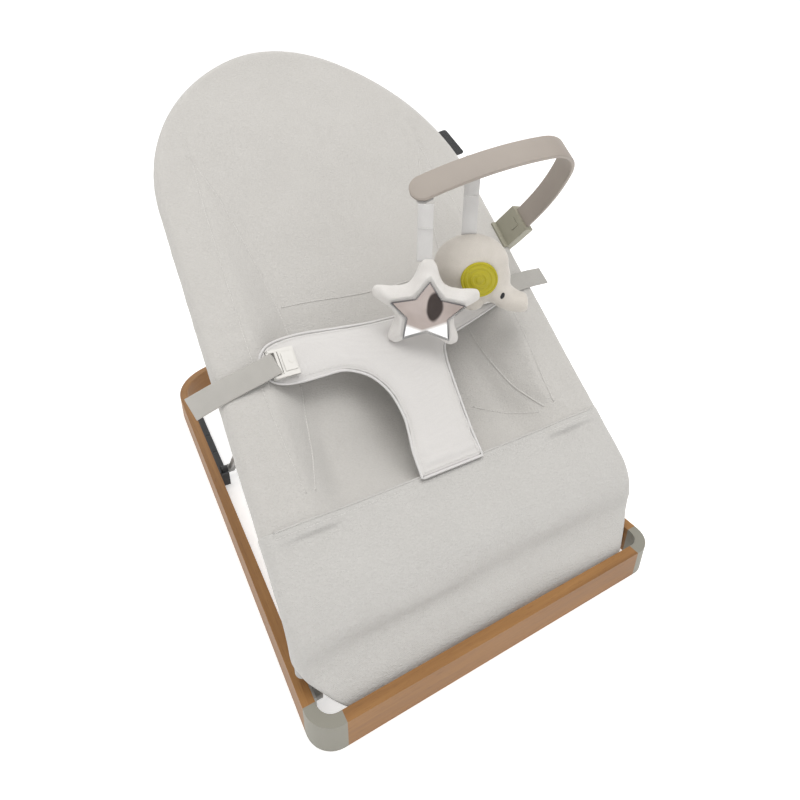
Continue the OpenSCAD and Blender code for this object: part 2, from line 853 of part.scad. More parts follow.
module clamp_button() {
    color("darkkhaki") in_bar_plane(clamp_run - 6.7, clamp_run + 6.7)
        at_mouth() translate([-block_w/2 - 0.6, -18.7]) square([1.6, 11.4]);
}

// Centre line of the band, as [x, n, heading]: stem in the socket, three arcs and a short tail
function band_stations(c, r, h0, turn, steps) =
    [for (i = [0:steps]) let(h = h0 + turn*i/steps) [c[0] + r*sin(h), c[1] - r*cos(h), h]];
bar_path = concat(
    [[mouth[0] - socket_depth*cos(lean), mouth[1] - socket_depth*sin(lean), lean]],
    band_stations(c1, arc_r[0], lean, arc_a[0], 8),
    [for (i = [1:12]) band_stations(c2, arc_r[1], head1, arc_a[1], 12)[i]],
    [for (i = [1:10]) band_stations(c3, arc_r[2], head2, arc_a[2], 10)[i]],
    [[p3[0] + (tail_len + band_w/2)*cos(head3), p3[1] + (tail_len + band_w/2)*sin(head3), head3]]
);

module band_profile() {
    last = len(bar_path) - 1;
    function side(p, s) = [p[0] - s*band_t/2*sin(p[2]), p[1] + s*band_t/2*cos(p[2])];
    polygon(concat([for (p = bar_path) side(p, -1)], [for (i = [0:last]) side(bar_path[last - i], 1)]));
}

module toy_bar() {
    color("tan") difference() {
        along_l(clamp_run - band_w/2, clamp_run + band_w/2) band_profile();
        on_seat() translate([p3[0], clamp_run, p3[1]]) rotate([90, 0, 0]) rotate([0, 0, head3])
            translate([tail_len, 0, 0]) difference() {
                translate([0, -5, -band_w/2 - 1]) cube([band_w/2 + 1, 10, band_w + 2]);
                rotate([90, 0, 0]) cylinder(h = 12, r = band_w/2, center = true);
            }
    }
}

// End of a ribbon fixed flat under the band; side -1 comes out at its front edge, 1 at its back edge
loop_w = 17;
loop_gap = 0.2;
tab_len = 26;

module ribbon_tab(x, side) {
    slope = acos((c3[0] - x)/arc_r[2]) - 90;
    on_seat() translate([x, clamp_run, band_n(x)]) rotate([0, slope, 0])
        translate([-loop_w/2, side*(band_w/2 + loop_t - tab_len/2) - tab_len/2, -band_t/2 - loop_gap - loop_t])
        cube([loop_w, tab_len, loop_t]);
}

module star_loop() {
    color("white") ribbon_tab(star_x, -1);
}

module elephant_loop() {
    color("white") ribbon_tab(elephant_x, 1);
}

// ---------- hanging toys ----------

ribbon_t = 2;

module star_ribbon() {
    color("white") from_front() translate([star_x, star_y, star_z + star_r - 8])
        rotate([0, 0, toy_turn]) translate([-loop_w/2, -ribbon_t/2, 0])
        cube([loop_w, ribbon_t, star_top - star_z - star_r + 8]);
}

function star_point(i, r) = let(k = i % 2 == 0 ? r : 0.62*r) [k*sin(36*i), k*cos(36*i)];

module star_plush() {
    color("white") from_front() translate([star_x, star_y, star_z]) rotate([90, 0, toy_turn]) difference() {
        translate([0, 0, -9]) linear_extrude(18)
            polygon([for (i = [0:9]) star_point(i, star_r)]);
        translate([0, 0, 8]) linear_extrude(5) polygon([for (i = [0:9]) star_point(i, 0.66*star_r)]);
        translate([-loop_w/2 - 0.2, star_r - 8.5, -ribbon_t/2 - 0.2]) cube([loop_w + 0.4, 20, ribbon_t + 0.4]);
    }
}

module star_mirror() {
    color("slategray") from_front() translate([star_x, star_y, star_z]) rotate([90, 0, toy_turn])
        translate([0, 0, 8.1]) linear_extrude(1.2) polygon([for (i = [0:9]) star_point(i, 0.65*star_r)]);
}

// Elephant: a thick round body beside the ribbon, a trunk, one ear disc and an eye
body_r = 41;
body_half_t = 18;
body_dx = 5;
trunk_r = 13;
trunk_z = -44;
trunk_x0 = 22;
trunk_x1 = 71;

module at_elephant() {
    from_front() translate([elephant_x, elephant_y, elephant_z]) rotate([0, 0, toy_turn]) children();
}

module elephant_ribbon() {
    color("white") at_elephant() translate([-loop_w/2, -ribbon_t/2, 36])
        cube([loop_w, ribbon_t, elephant_top - elephant_z - 36]);
}

// Round body, or a copy of it that is larger all round by grow
module body_disc(grow) {
    rim_x = body_r - body_half_t;
    rim_r = body_half_t + grow;
    translate([body_dx, 0, 0]) rotate([90, 0, 0]) rotate_extrude() intersection() {
        union() {
            translate([rim_x, 0]) circle(r = rim_r);
            translate([0, -rim_r]) square([rim_x, 2*rim_r]);
        }
        translate([0, -2*body_r]) square([2*body_r, 4*body_r]);
    }
}

module elephant_body() {
    color("linen") at_elephant() difference() {
        body_disc(0);
        translate([-loop_w/2 - 0.2, -ribbon_t/2 - 0.2, 35.8]) cube([loop_w + 0.4, ribbon_t + 0.4, 20]);
    }
}

module elephant_trunk() {
    color("linen") at_elephant() difference() {
        union() {
            translate([trunk_x0, 0, trunk_z]) rotate([0, 90, 0]) cylinder(h = trunk_x1 - trunk_x0, r = trunk_r);
            translate([trunk_x1, 0, trunk_z]) sphere(r = trunk_r);
        }
        translate([body_dx, 0, 0]) rotate([90, 0, 0]) cylinder(h = 60, r = body_r + 0.1, center = true);
    }
}

module ear_disc() {
    color("gold") at_elephant() translate([13, -body_half_t - 0.05, -10]) rotate([90, 0, 0]) cylinder(h = 4, r = 19.5);
}

module elephant_eye() {
    color("black") at_elephant() difference() {
        translate([35, -7, -24.5]) rotate([90, 0, 0]) cylinder(h = 5, r = 2.6);
        body_disc(0.05);
    }
}

// ---------- drawing ----------

wood_hoop();
front_rail();
corner_left();
corner_right();
corner_screws();
foot_pads();
hinge_plates();
plate_screws();
hinge_pins();
rack_left();
rack_right();
rack_screws();
hinge_arm_left();
hinge_arm_right();
front_cross_tube();
knee_tube_left();
knee_tube_right();
prop_bracket_left();
prop_bracket_right();
prop_pivot_pins();
front_panel();
lower_sleeves();
seat_sling();
crotch_pad();
prop_leg_left();
prop_leg_right();
prop_cross_bar();
prop_foot_left();
prop_foot_right();
upper_hoop();
tube_joiners();
upper_sleeve();
back_sling();
waist_pad();
buckle_left();
buckle_right();
side_strap_left();
side_strap_right();
buckle_button_left();
buckle_button_right();
blank_tag();
clamp_body();
clamp_screw();
clamp_button();
toy_bar();
star_loop();
elephant_loop();
star_ribbon();
star_plush();
star_mirror();
elephant_ribbon();
elephant_body();
elephant_trunk();
ear_disc();
elephant_eye();
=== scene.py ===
"""Looks of the baby bouncer seat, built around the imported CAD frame."""

import json
import math

import bmesh
import bpy
import numpy as np
from mathutils import Matrix, Vector, noise
from mathutils.bvhtree import BVHTree


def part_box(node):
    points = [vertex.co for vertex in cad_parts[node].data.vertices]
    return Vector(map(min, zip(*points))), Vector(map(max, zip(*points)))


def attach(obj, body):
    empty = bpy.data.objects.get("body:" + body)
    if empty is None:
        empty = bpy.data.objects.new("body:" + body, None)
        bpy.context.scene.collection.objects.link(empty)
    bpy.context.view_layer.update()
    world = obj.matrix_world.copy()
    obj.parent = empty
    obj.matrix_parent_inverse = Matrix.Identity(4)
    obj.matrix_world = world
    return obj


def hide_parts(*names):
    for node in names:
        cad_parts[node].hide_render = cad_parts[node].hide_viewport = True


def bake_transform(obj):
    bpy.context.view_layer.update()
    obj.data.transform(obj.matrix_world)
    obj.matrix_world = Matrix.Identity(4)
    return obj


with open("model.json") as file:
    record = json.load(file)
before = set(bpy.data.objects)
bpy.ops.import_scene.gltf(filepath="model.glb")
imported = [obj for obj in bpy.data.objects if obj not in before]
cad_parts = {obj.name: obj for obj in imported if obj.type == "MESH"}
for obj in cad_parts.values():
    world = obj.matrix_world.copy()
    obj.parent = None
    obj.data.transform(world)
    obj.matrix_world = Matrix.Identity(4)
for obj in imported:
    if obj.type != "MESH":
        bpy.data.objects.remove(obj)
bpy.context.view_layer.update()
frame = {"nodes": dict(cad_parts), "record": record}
JOINTS = {joint["name"]: joint for joint in frame["record"]["behaviour"]["joints"]}

MM = 0.001
RECLINE = math.radians(38.4)
SLEEVE_R = 10.2
HALF_W = 204.0
SIDE_RUN = 433.0
SIDE_R = 260.0
TOP_R = 140.0
SIDE_X = HALF_W - SIDE_R
HEAD_RISE = 246.0
TOP_L = SIDE_RUN + HEAD_RISE - TOP_R
SIDE_TURN = math.atan2(HEAD_RISE - TOP_R, -SIDE_X)
KNEE_R = 57.0
KNEE_ARC = KNEE_R * (math.pi / 2 - RECLINE)
FLEX_RUN = 200.0
SEAM_RUN = 59.0
HEM_RUN = -97.0
SPINE_RISE = 118.0

ALONG = np.array([0.0, math.cos(RECLINE), math.sin(RECLINE)])
OUT = np.array([0.0, -math.sin(RECLINE), math.cos(RECLINE)])
FLEX = np.array(JOINTS["back_flex"]["pos_m"]) / MM
SEAT_0 = FLEX - FLEX_RUN * ALONG
KNEE = SEAT_0 - KNEE_R * OUT


# ---------- places on the seat ----------

def place(x, run, out):
    """Points of the seat in metres: x across, run along the side tubes, out from the tubes' plane.
    Below run 0 the line goes round the knee and down the front legs."""
    x, run, out = np.broadcast_arrays(np.asarray(x, float), run, out)
    turn = np.clip(-run, 0, KNEE_ARC) / KNEE_R
    angle = math.pi / 2 + RECLINE + turn
    normal_y = np.cos(angle)
    normal_z = np.sin(angle)
    straight = np.clip(run, 0, None)
    drop = np.clip(-run - KNEE_ARC, 0, None)
    y = KNEE[1] + (KNEE_R + out) * normal_y + straight * ALONG[1]
    z = KNEE[2] + (KNEE_R + out) * normal_z + straight * ALONG[2] - drop
    return np.stack([x, y, z], -1) * MM


def smooth(t):
    """Eases from 0 to 1 as t does."""
    t = np.clip(t, 0, 1)
    return t * t * (3 - 2 * t)


def curve_through(stations, values):
    """A smooth curve through (station, value) pairs."""
    fine = np.linspace(stations[0], stations[-1], 400)
    line = np.interp(fine, stations, values)
    kernel = np.hanning(41)
    padded = np.pad(line, 20, mode="edge")
    line = np.convolve(padded, kernel / kernel.sum(), mode="valid")
    return lambda s: np.interp(s, fine, line)


def soft_noise(x, y, size, seed=0.0):
    """Smooth noise from -1 to 1 with features of about that size."""
    x, y = np.broadcast_arrays(x, y)
    flat = [noise.noise(Vector((a / size, b / size, seed))) for a, b in zip(x.ravel(), y.ravel())]
    return np.array(flat).reshape(x.shape)


def distance_to_line(x, y, points):
    """Distance from each (x, y) to a line of points."""
    best = np.full(np.shape(x), 1e9)
    for (ax, ay), (bx, by) in zip(points[:-1], points[1:]):
        dx, dy = bx - ax, by - ay
        t = np.clip(((x - ax) * dx + (y - ay) * dy) / (dx * dx + dy * dy), 0, 1)
        best = np.minimum(best, np.hypot(x - ax - t * dx, y - ay - t * dy))
    return best


# ---------- mesh helpers ----------

def shade(piece, smooth_shading=True):
    piece.data.polygons.foreach_set("use_smooth", [smooth_shading] * len(piece.data.polygons))


def link_mesh(name, mesh, smooth_shading=True):
    made = bpy.data.objects.new(name, mesh)
    bpy.context.scene.collection.objects.link(made)
    shade(made, smooth_shading)
    return made


def new_object(name, vertices, faces, smooth_shading=True):
    mesh = bpy.data.meshes.new(name)
    mesh.from_pydata([tuple(v) for v in vertices], [], faces)
    mesh.validate()
    mesh.update()
    return link_mesh(name, mesh, smooth_shading)


def points_of(piece):
    """A piece's points, in millimetres."""
    return np.array([v.co for v in piece.data.vertices]) / MM


def move_points(piece, places):
    """Moves a piece's points to new places, in metres."""
    piece.data.vertices.foreach_set("co", np.ravel(places))
    piece.data.update()


def unit(vector):
    return vector / (np.linalg.norm(vector) + 1e-12)


def distances_along(line):
    """How far along the line each of its points is."""
    steps = np.linalg.norm(np.diff(line, axis=0), axis=1)
    return np.concatenate([[0], np.cumsum(steps)])


def line_points(line, places):
    """The points at those distances along a line."""
    line = np.array(line, float)
    along = distances_along(line)
    return np.stack([np.interp(places, along, column) for column in line.T], -1)


def ring_faces(rings, count, closed=False, caps=True):
    """Faces between rings of count points each, with both ends capped unless the rings close."""
    faces = []
    for i in range(rings if closed else rings - 1):
        near = i * count
        far = (i + 1) % rings * count
        for j in range(count):
            k = (j + 1) % count
            faces.append((near + j, near + k, far + k, far + j))
    if caps and not closed:
        faces.append(tuple(range(count))[::-1])
        faces.append(tuple((rings - 1) * count + j for j in range(count)))
    return faces


def grid_faces(rows, columns, flip=False):
    faces = []
    for i in range(rows - 1):
        for j in range(columns - 1):
            a = i * columns + j
            face = (a, a + 1, a + columns + 1, a + columns)
            faces.append(face[::-1] if flip else face)
    return faces


def grid_object(name, points, flip=False):
    rows, columns = points.shape[:2]
    return new_object(name, points.reshape(-1, 3), grid_faces(rows, columns, flip))


def merge_doubles(piece, distance=1e-5):
    mesh = bmesh.new()
    mesh.from_mesh(piece.data)
    bmesh.ops.remove_doubles(mesh, verts=mesh.verts, dist=distance)
    bmesh.ops.recalc_face_normals(mesh, faces=mesh.faces)
    mesh.to_mesh(piece.data)
    mesh.free()


def thicken(piece, thickness):
    """Gives a sheet its thickness on the inner side."""
    modifier = piece.modifiers.new("cloth_thickness", "SOLIDIFY")
    modifier.thickness = thickness * MM
    modifier.offset = -1.0
    modifier.use_rim = True


def subdivide(piece):
    modifier = piece.modifiers.new("subdivision", "SUBSURF")
    modifier.levels = 1
    modifier.render_levels = 1


def bevel(piece, width, segments=3):
    modifier = piece.modifiers.new("edge_bevel", "BEVEL")
    modifier.width = width * MM
    modifier.segments = segments
    modifier.limit_method = "ANGLE"
    modifier.angle_limit = math.radians(35)
    modifier.harden_normals = True


def remesh(piece, voxel):
    modifier = piece.modifiers.new("remesh", "REMESH")
    modifier.mode = "VOXEL"
    modifier.voxel_size = voxel * MM
    apply_modifiers(piece)


def apply_modifiers(piece):
    evaluated = piece.evaluated_get(bpy.context.evaluated_depsgraph_get())
    mesh = bpy.data.meshes.new_from_object(evaluated)
    piece.modifiers.clear()
    old = piece.data
    piece.data = mesh
    bpy.data.meshes.remove(old)


def sweep(name, stations, section, closed_path=False, scales=None):
    """A section of (side, up) points swept along stations of (point, side vector, up vector).
    Scales, where given, size the section at each station."""
    vertices = []
    for i, (point, side, up) in enumerate(stations):
        scale = 1.0 if scales is None else scales[i]
        vertices += [np.array(point) + scale * (s * np.array(side) + u * np.array(up)) for s, u in section]
    return new_object(name, vertices, ring_faces(len(stations), len(section), closed_path))


def round_section(radius, sides=10):
    angles = [2 * math.pi * k / sides for k in range(sides)]
    return [(radius * math.cos(a), radius * math.sin(a)) for a in angles]


def flat_section(width, thickness, corner):
    """A flat strap's section with cut corners, whose size is a share of half the thickness."""
    half = width / 2
    thin = thickness / 2
    c = thin * corner
    return [(-half + c, -thin), (0, -thin), (half - c, -thin), (half, -thin + c), (half, thin - c),
            (half - c, thin), (0, thin), (-half + c, thin), (-half, thin - c), (-half, -thin + c)]


def neighbours(points, i):
    """The points before and after one of an open line's points."""
    return points[max(i - 1, 0)], points[min(i + 1, len(points) - 1)]


def path_frames(points, up_hint):
    """Stations for sweep(): each point with a side and an up vector square to the path."""
    points = [np.array(p, float) for p in points]
    stations = []
    for i, point in enumerate(points):
        before, after = neighbours(points, i)
        ahead = unit(after - before)
        side = unit(np.cross(ahead, np.array(up_hint, float)))
        stations.append((point, side, np.cross(side, ahead)))
    return stations


def thread_dashes(name, points, normal, length, gap, radius):
    """Stitches as short thread dashes along a line of points, in metres, on a face with that normal."""
    points = np.array(points, float)
    normal = np.array(normal, float)
    total = distances_along(points)[-1]
    count = max(1, int(total / (length + gap)))
    sides = 6
    section = np.array(round_section(radius, sides))
    vertices, faces = [], []
    for k in range(count):
        start = (k + 0.5) * total / count - length / 2
        ends = line_points(points, [start, start + length / 2, start + length])
        side = unit(np.cross(ends[2] - ends[0], normal))
        base = len(vertices)
        for end, lift in zip(ends, (0.0, 0.9, 0.0)):
            centre = end + normal * radius * lift
            vertices += [centre + s * side + u * normal for s, u in section]
        faces += [tuple(base + i for i in face) for face in ring_faces(len(ends), sides)]
    return new_object(name, vertices, faces)


# ---------- materials ----------

class Shading:
    """A material being built: its nodes, its links and its shader's inputs."""

    def __init__(self, name):
        self.made = bpy.data.materials.new(name)
        self.made.use_nodes = True
        self.nodes = self.made.node_tree.nodes
        self.links = self.made.node_tree.links
        self.inputs = self.nodes["Principled BSDF"].inputs

    def add(self, kind, **settings):
        made = self.nodes.new(kind)
        for name, value in settings.items():
            setattr(made, name, value)
        return made

    def feed(self, socket, value):
        """Links an output to a socket, or sets the socket to a plain value."""
        if isinstance(value, bpy.types.NodeSocket):
            self.links.new(value, socket)
        else:
            socket.default_value = value

    def finish(self, values):
        """Feeds the shader's inputs by name, and gives the material."""
        for name, value in values.items():
            self.feed(self.inputs[name], value)
        return self.made

    def place(self):
        return self.add("ShaderNodeTexCoord").outputs["Object"]

    def axes(self, vector):
        made = self.add("ShaderNodeSeparateXYZ")
        self.links.new(vector, made.inputs[0])
        return made.outputs

    def noise(self, scale, detail=3.0, stretch=(1, 1, 1), distortion=0.0, roughness=0.5, vector=None):
        mapping = self.add("ShaderNodeMapping")
        texture = self.add("ShaderNodeTexNoise")
        self.feed(mapping.inputs["Vector"], self.place() if vector is None else vector)
        self.feed(mapping.inputs["Scale"], stretch)
        self.feed(texture.inputs["Vector"], mapping.outputs["Vector"])
        self.feed(texture.inputs["Scale"], scale)
        self.feed(texture.inputs["Detail"], detail)
        self.feed(texture.inputs["Roughness"], roughness)
        self.feed(texture.inputs["Distortion"], distortion)
        return texture.outputs["Fac"]

    def ramp(self, source, stops):
        made = self.add("ShaderNodeValToRGB")
        elements = made.color_ramp.elements
        while len(elements) < len(stops):
            elements.new(0.5)
        for element, (position, colour) in zip(elements, stops):
            element.position = position
            element.color = (*colour, 1.0)
        self.links.new(source, made.inputs["Fac"])
        return made.outputs["Color"]

    def between(self, source, low, high):
        made = self.add("ShaderNodeMapRange")
        self.feed(made.inputs["Value"], source)
        self.feed(made.inputs["To Min"], low)
        self.feed(made.inputs["To Max"], high)
        return made.outputs["Result"]

    def math(self, operation, first, second=None):
        made = self.add("ShaderNodeMath", operation=operation)
        self.feed(made.inputs[0], first)
        if second is not None:
            self.feed(made.inputs[1], second)
        return made.outputs[0]

    def vector_math(self, operation, first, second):
        made = self.add("ShaderNodeVectorMath", operation=operation)
        self.feed(made.inputs[0], first)
        self.feed(made.inputs[1], second)
        return made.outputs["Value" if operation == "DISTANCE" else "Vector"]

    def weighted(self, first, share, second):
        """A sum of two values, with that share of the first."""
        return self.math("ADD", self.math("MULTIPLY", first, share), self.math("MULTIPLY", second, 1 - share))

    def mix(self, first, second, factor, blend="MIX"):
        made = self.add("ShaderNodeMix", data_type="RGBA", blend_type=blend)
        self.feed(made.inputs["Factor"], factor)
        self.feed(made.inputs["A"], first)
        self.feed(made.inputs["B"], second)
        return made.outputs["Result"]

    def bump(self, height, strength, distance, below=None):
        made = self.add("ShaderNodeBump")
        self.feed(made.inputs["Height"], height)
        self.feed(made.inputs["Strength"], strength)
        self.feed(made.inputs["Distance"], distance)
        if below is not None:
            self.links.new(below, made.inputs["Normal"])
        self.links.new(made.outputs["Normal"], self.inputs["Normal"])
        return made.outputs["Normal"]

    def weave(self, threads):
        """Height of a plain weave with that many threads to a metre, from all three axes."""
        axes = self.axes(self.place())
        turns = 2 * math.pi * threads
        x, y, z = (self.math("SINE", self.math("MULTIPLY", axes[name], turns)) for name in "XYZ")
        return self.math("ADD", self.math("MULTIPLY", x, y), self.math("MULTIPLY", x, z))


def cloth(name, light, dark, crepe_size, weave_threads, crepe_bump, weave_bump):
    """Crepe cloth: a crinkled weave with soft mottling."""
    shading = Shading(name)
    mottle = shading.noise(22.0, 4.0)
    crinkle = shading.noise(1.0 / crepe_size, 3.0, (1.0, 1.7, 1.7), 0.5, 0.62)
    tone = shading.weighted(mottle, 0.2, crinkle)
    creased = shading.bump(crinkle, crepe_bump, 0.0011)
    shading.bump(shading.weave(weave_threads), weave_bump, 0.00015, creased)
    return shading.finish({
        "Base Color": shading.ramp(tone, [(0.34, dark), (0.62, light)]),
        "Roughness": shading.between(crinkle, 0.82, 0.96),
        "Sheen Weight": 0.25, "Sheen Roughness": 0.5, "Specular IOR Level": 0.25,
    })


def plush_cloth(name, light, dark):
    """Soft short pile."""
    shading = Shading(name)
    pile = shading.noise(900.0, 3.0, (1, 1, 1), 0.4, 0.65)
    tone = shading.weighted(shading.noise(45.0), 0.6, pile)
    shading.bump(pile, 0.55, 0.0007)
    return shading.finish({
        "Base Color": shading.ramp(tone, [(0.35, dark), (0.62, light)]), "Roughness": 0.95,
        "Sheen Weight": 0.6, "Sheen Roughness": 0.4, "Specular IOR Level": 0.15,
    })


def webbing_cloth(name, light, dark):
    """Flat webbing with a fine diagonal rib."""
    shading = Shading(name)
    rib = shading.add("ShaderNodeTexWave", wave_type="BANDS", bands_direction="DIAGONAL")
    shading.feed(rib.inputs["Vector"], shading.place())
    shading.feed(rib.inputs["Scale"], 520.0)
    shading.feed(rib.inputs["Distortion"], 0.6)
    shading.feed(rib.inputs["Detail"], 2.0)
    tone = shading.weighted(shading.noise(60.0), 0.6, rib.outputs["Fac"])
    shading.bump(rib.outputs["Fac"], 0.4, 0.0003)
    return shading.finish({
        "Base Color": shading.ramp(tone, [(0.25, dark), (0.7, light)]),
        "Roughness": 0.72, "Sheen Weight": 0.15,
    })


def moulded(name, light, dark, roughness=(0.42, 0.6), grain=0.25, grain_scale=900.0, coat=0.0):
    """Moulded plastic with a fine spark-eroded grain."""
    shading = Shading(name)
    cloud = shading.noise(18.0)
    shading.bump(shading.noise(grain_scale, 2.0), grain, 0.0001)
    return shading.finish({
        "Base Color": shading.ramp(cloud, [(0.35, dark), (0.65, light)]),
        "Roughness": shading.between(cloud, *roughness), "Coat Weight": coat,
    })


def metal(name, colour, roughness, metallic=1.0):
    """Plated or painted steel, slightly streaked."""
    shading = Shading(name)
    streak = shading.noise(160.0, 4.0)
    dark = tuple(0.82 * c for c in colour)
    shading.bump(streak, 0.1, 0.0001)
    return shading.finish({
        "Base Color": shading.ramp(streak, [(0.3, dark), (0.7, colour)]),
        "Roughness": shading.between(streak, *roughness), "Metallic": metallic,
    })


def grain_round_hoop(shading, corner_x, corner_y, corner_radius):
    """A vector whose X runs along the rails and round the hoop's bent corners."""
    node = shading.math
    axes = shading.axes(shading.place())
    side = node("ABSOLUTE", axes["X"])
    beyond_x = node("MAXIMUM", node("SUBTRACT", side, corner_x), 0.0)
    past_y = node("SUBTRACT", axes["Y"], corner_y)
    beyond_y = node("MAXIMUM", past_y, 0.0)
    squares = node("ADD", node("MULTIPLY", beyond_x, beyond_x), node("MULTIPLY", beyond_y, beyond_y))
    bend = node("MULTIPLY", node("ARCTAN2", beyond_y, beyond_x), corner_radius)
    back = node("MAXIMUM", node("SUBTRACT", corner_x, side), 0.0)
    join = shading.add("ShaderNodeCombineXYZ")
    shading.feed(join.inputs["X"], node("ADD", node("ADD", node("MINIMUM", past_y, 0.0), bend), back))
    shading.feed(join.inputs["Y"], node("SQRT", squares))
    shading.feed(join.inputs["Z"], axes["Z"])
    return join.outputs[0]


def beech(name, corner=None):
    """Beech with its grain along X or, with a corner's place and radius, along a bent hoop."""
    shading = Shading(name)
    vector = shading.place() if corner is None else grain_round_hoop(shading, *corner)
    grain = shading.noise(7.0, 6.0, (0.9, 26.0, 22.0), 0.4, vector=vector)
    fleck = shading.noise(60.0, 2.0, (1.4, 22.0, 16.0), vector=vector)
    band = shading.noise(2.2, 3.0, (0.7, 9.0, 9.0), 0.8, vector=vector)
    tone = shading.weighted(grain, 0.55, band)
    stops = [(0.30, (0.178, 0.076, 0.015)), (0.50, (0.262, 0.118, 0.027)), (0.70, (0.342, 0.166, 0.045))]
    flecks = shading.ramp(fleck, [(0.30, (0.62, 0.55, 0.48)), (0.40, (1, 1, 1))])
    shading.bump(grain, 0.12, 0.0004)
    return shading.finish({
        "Base Color": shading.mix(shading.ramp(tone, stops), flecks, 0.55, "MULTIPLY"),
        "Roughness": shading.between(grain, 0.42, 0.60), "Coat Weight": 0.06, "Coat Roughness": 0.35,
    })


def mirror_film(name, centre):
    """Soft mirror film: a slightly rippled, warm grey face with a painted dark reflection near its middle and
    a painted pale reflection on its lower tips.
    """
    shading = Shading(name)
    ripple = shading.noise(24.0, 2.0, (1, 1, 1), 0.5)
    offset = shading.vector_math("SUBTRACT", shading.place(), centre)
    axes = shading.axes(offset)
    stretched = shading.vector_math("MULTIPLY", offset, (1.5, 1.5, 0.8))
    far = shading.vector_math("DISTANCE", stretched, (0.016, -0.010, -0.002))
    wobble = shading.math("ADD", far, shading.math("MULTIPLY", ripple, 0.016))
    warm = shading.ramp(ripple, [(0.35, (0.30, 0.255, 0.235)), (0.7, (0.40, 0.35, 0.33))])
    # Painted dark reflection: a dark blob near the film's middle, multiplied into its colour
    dark_reflection_stops = [(0.52, (0.13, 0.12, 0.12)), (0.60, (1, 1, 1))]
    painted_dark_reflection = shading.ramp(shading.math("MULTIPLY", wobble, 25.0), dark_reflection_stops)
    # Painted pale reflection: the colour turns pale grey towards the lower tips
    drop = shading.math("MULTIPLY", axes["Z"], 8.0)
    side = shading.math("MULTIPLY", shading.math("ABSOLUTE", axes["X"]), -3.6)
    height = shading.math("ADD", shading.math("ADD", drop, side), 0.29)
    painted_pale_reflection = shading.ramp(height, [(0.0, (1, 1, 1)), (0.04, (0, 0, 0))])
    with_dark_reflection = shading.mix(warm, painted_dark_reflection, 1.0, "MULTIPLY")
    shading.bump(ripple, 0.5, 0.002)
    return shading.finish({
        "Base Color": shading.mix(with_dark_reflection, (0.86, 0.86, 0.86, 1.0), painted_pale_reflection),
        "Metallic": 0.85, "Roughness": 0.22,
    })


def box_centre(node):
    low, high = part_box(node)
    return (low + high) / 2


BACK_R = 95 * MM
HOOP_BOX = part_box("wood_hoop")
WOOD = beech("beech_hoop", (HOOP_BOX[1].x - BACK_R, HOOP_BOX[1].y - BACK_R, BACK_R))
WOOD_FRONT = beech("beech_front")
CREPE = cloth("seat_crepe", (0.560, 0.546, 0.524), (0.514, 0.500, 0.478), 0.0027, 620.0, 0.80, 0.3)
CREPE_FRONT = cloth("front_crepe", (0.560, 0.550, 0.532), (0.516, 0.506, 0.488), 0.0028, 620.0, 0.85, 0.3)
PIPING = cloth("piping_cotton", (0.70, 0.69, 0.685), (0.65, 0.64, 0.635), 0.0012, 1100.0, 0.2, 0.4)
HARNESS = cloth("harness_cotton", (0.675, 0.660, 0.648), (0.635, 0.620, 0.608), 0.0013, 900.0, 0.35, 0.4)
WEBBING = webbing_cloth("white_webbing", (0.445, 0.432, 0.405), (0.385, 0.373, 0.35))
RIBBON = webbing_cloth("white_ribbon", (0.66, 0.65, 0.64), (0.57, 0.56, 0.55))
PLUSH = plush_cloth("white_plush", (0.735, 0.715, 0.695), (0.665, 0.645, 0.62))
ELEPHANT = plush_cloth("cream_plush", (0.640, 0.600, 0.550), (0.56, 0.525, 0.475))
GREY_PLASTIC = moulded("grey_corner_plastic", (0.262, 0.252, 0.212), (0.235, 0.226, 0.19))
CLAMP_PLASTIC = moulded("grey_clamp_plastic", (0.34, 0.325, 0.255), (0.30, 0.288, 0.225))
BAR_PLASTIC = moulded("taupe_bar_plastic", (0.350, 0.308, 0.272), (0.322, 0.282, 0.249), (0.45, 0.62), 0.3)
WHITE_PLASTIC = moulded("white_buckle_plastic", (0.70, 0.685, 0.655), (0.66, 0.645, 0.615), (0.28, 0.4), 0.1)
DARK_NYLON = moulded("dark_nylon", (0.045, 0.045, 0.047), (0.03, 0.03, 0.032), (0.45, 0.65))
RUBBER = moulded("black_rubber", (0.03, 0.03, 0.03), (0.018, 0.018, 0.018), (0.75, 0.9), 0.4, 600.0)
STEEL = metal("zinc_steel", (0.62, 0.62, 0.61), (0.28, 0.42))
PAINTED = metal("grey_tube_paint", (0.40, 0.40, 0.39), (0.35, 0.5), 0.3)
EAR = moulded("ear_plastic", (0.46, 0.40, 0.004), (0.41, 0.355, 0.003), (0.4, 0.55), 0.1, 700.0, 0.05)
BLACK = webbing_cloth("black_woven", (0.020, 0.021, 0.024), (0.010, 0.010, 0.012))
THREAD = moulded("white_thread", (0.78, 0.77, 0.75), (0.68, 0.67, 0.65), (0.7, 0.85))
DARK_THREAD = moulded("grey_thread", (0.16, 0.17, 0.20), (0.10, 0.11, 0.13), (0.7, 0.85))


MIRROR = mirror_film("mirror_film", tuple(box_centre("star_mirror")))


def paint(piece, made):
    piece.data.materials.clear()
    piece.data.materials.append(made)


def put(piece, body, made, replaced=()):
    """Rides a new piece on its body with its material, and hides the CAD nodes it stands for."""
    paint(piece, made)
    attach(piece, body)
    if replaced:
        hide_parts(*replaced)
    return piece


def put_across(piece, made, replaced=()):
    """Gives a soft piece that runs from the cradle to the backrest its material, hides the CAD nodes it
    stands for and bakes its transform.
    """
    paint(piece, made)
    if replaced:
        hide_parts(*replaced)
    tuple(place(0, 150, 0))
    tuple(place(0, 250, 0))
    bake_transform(piece)


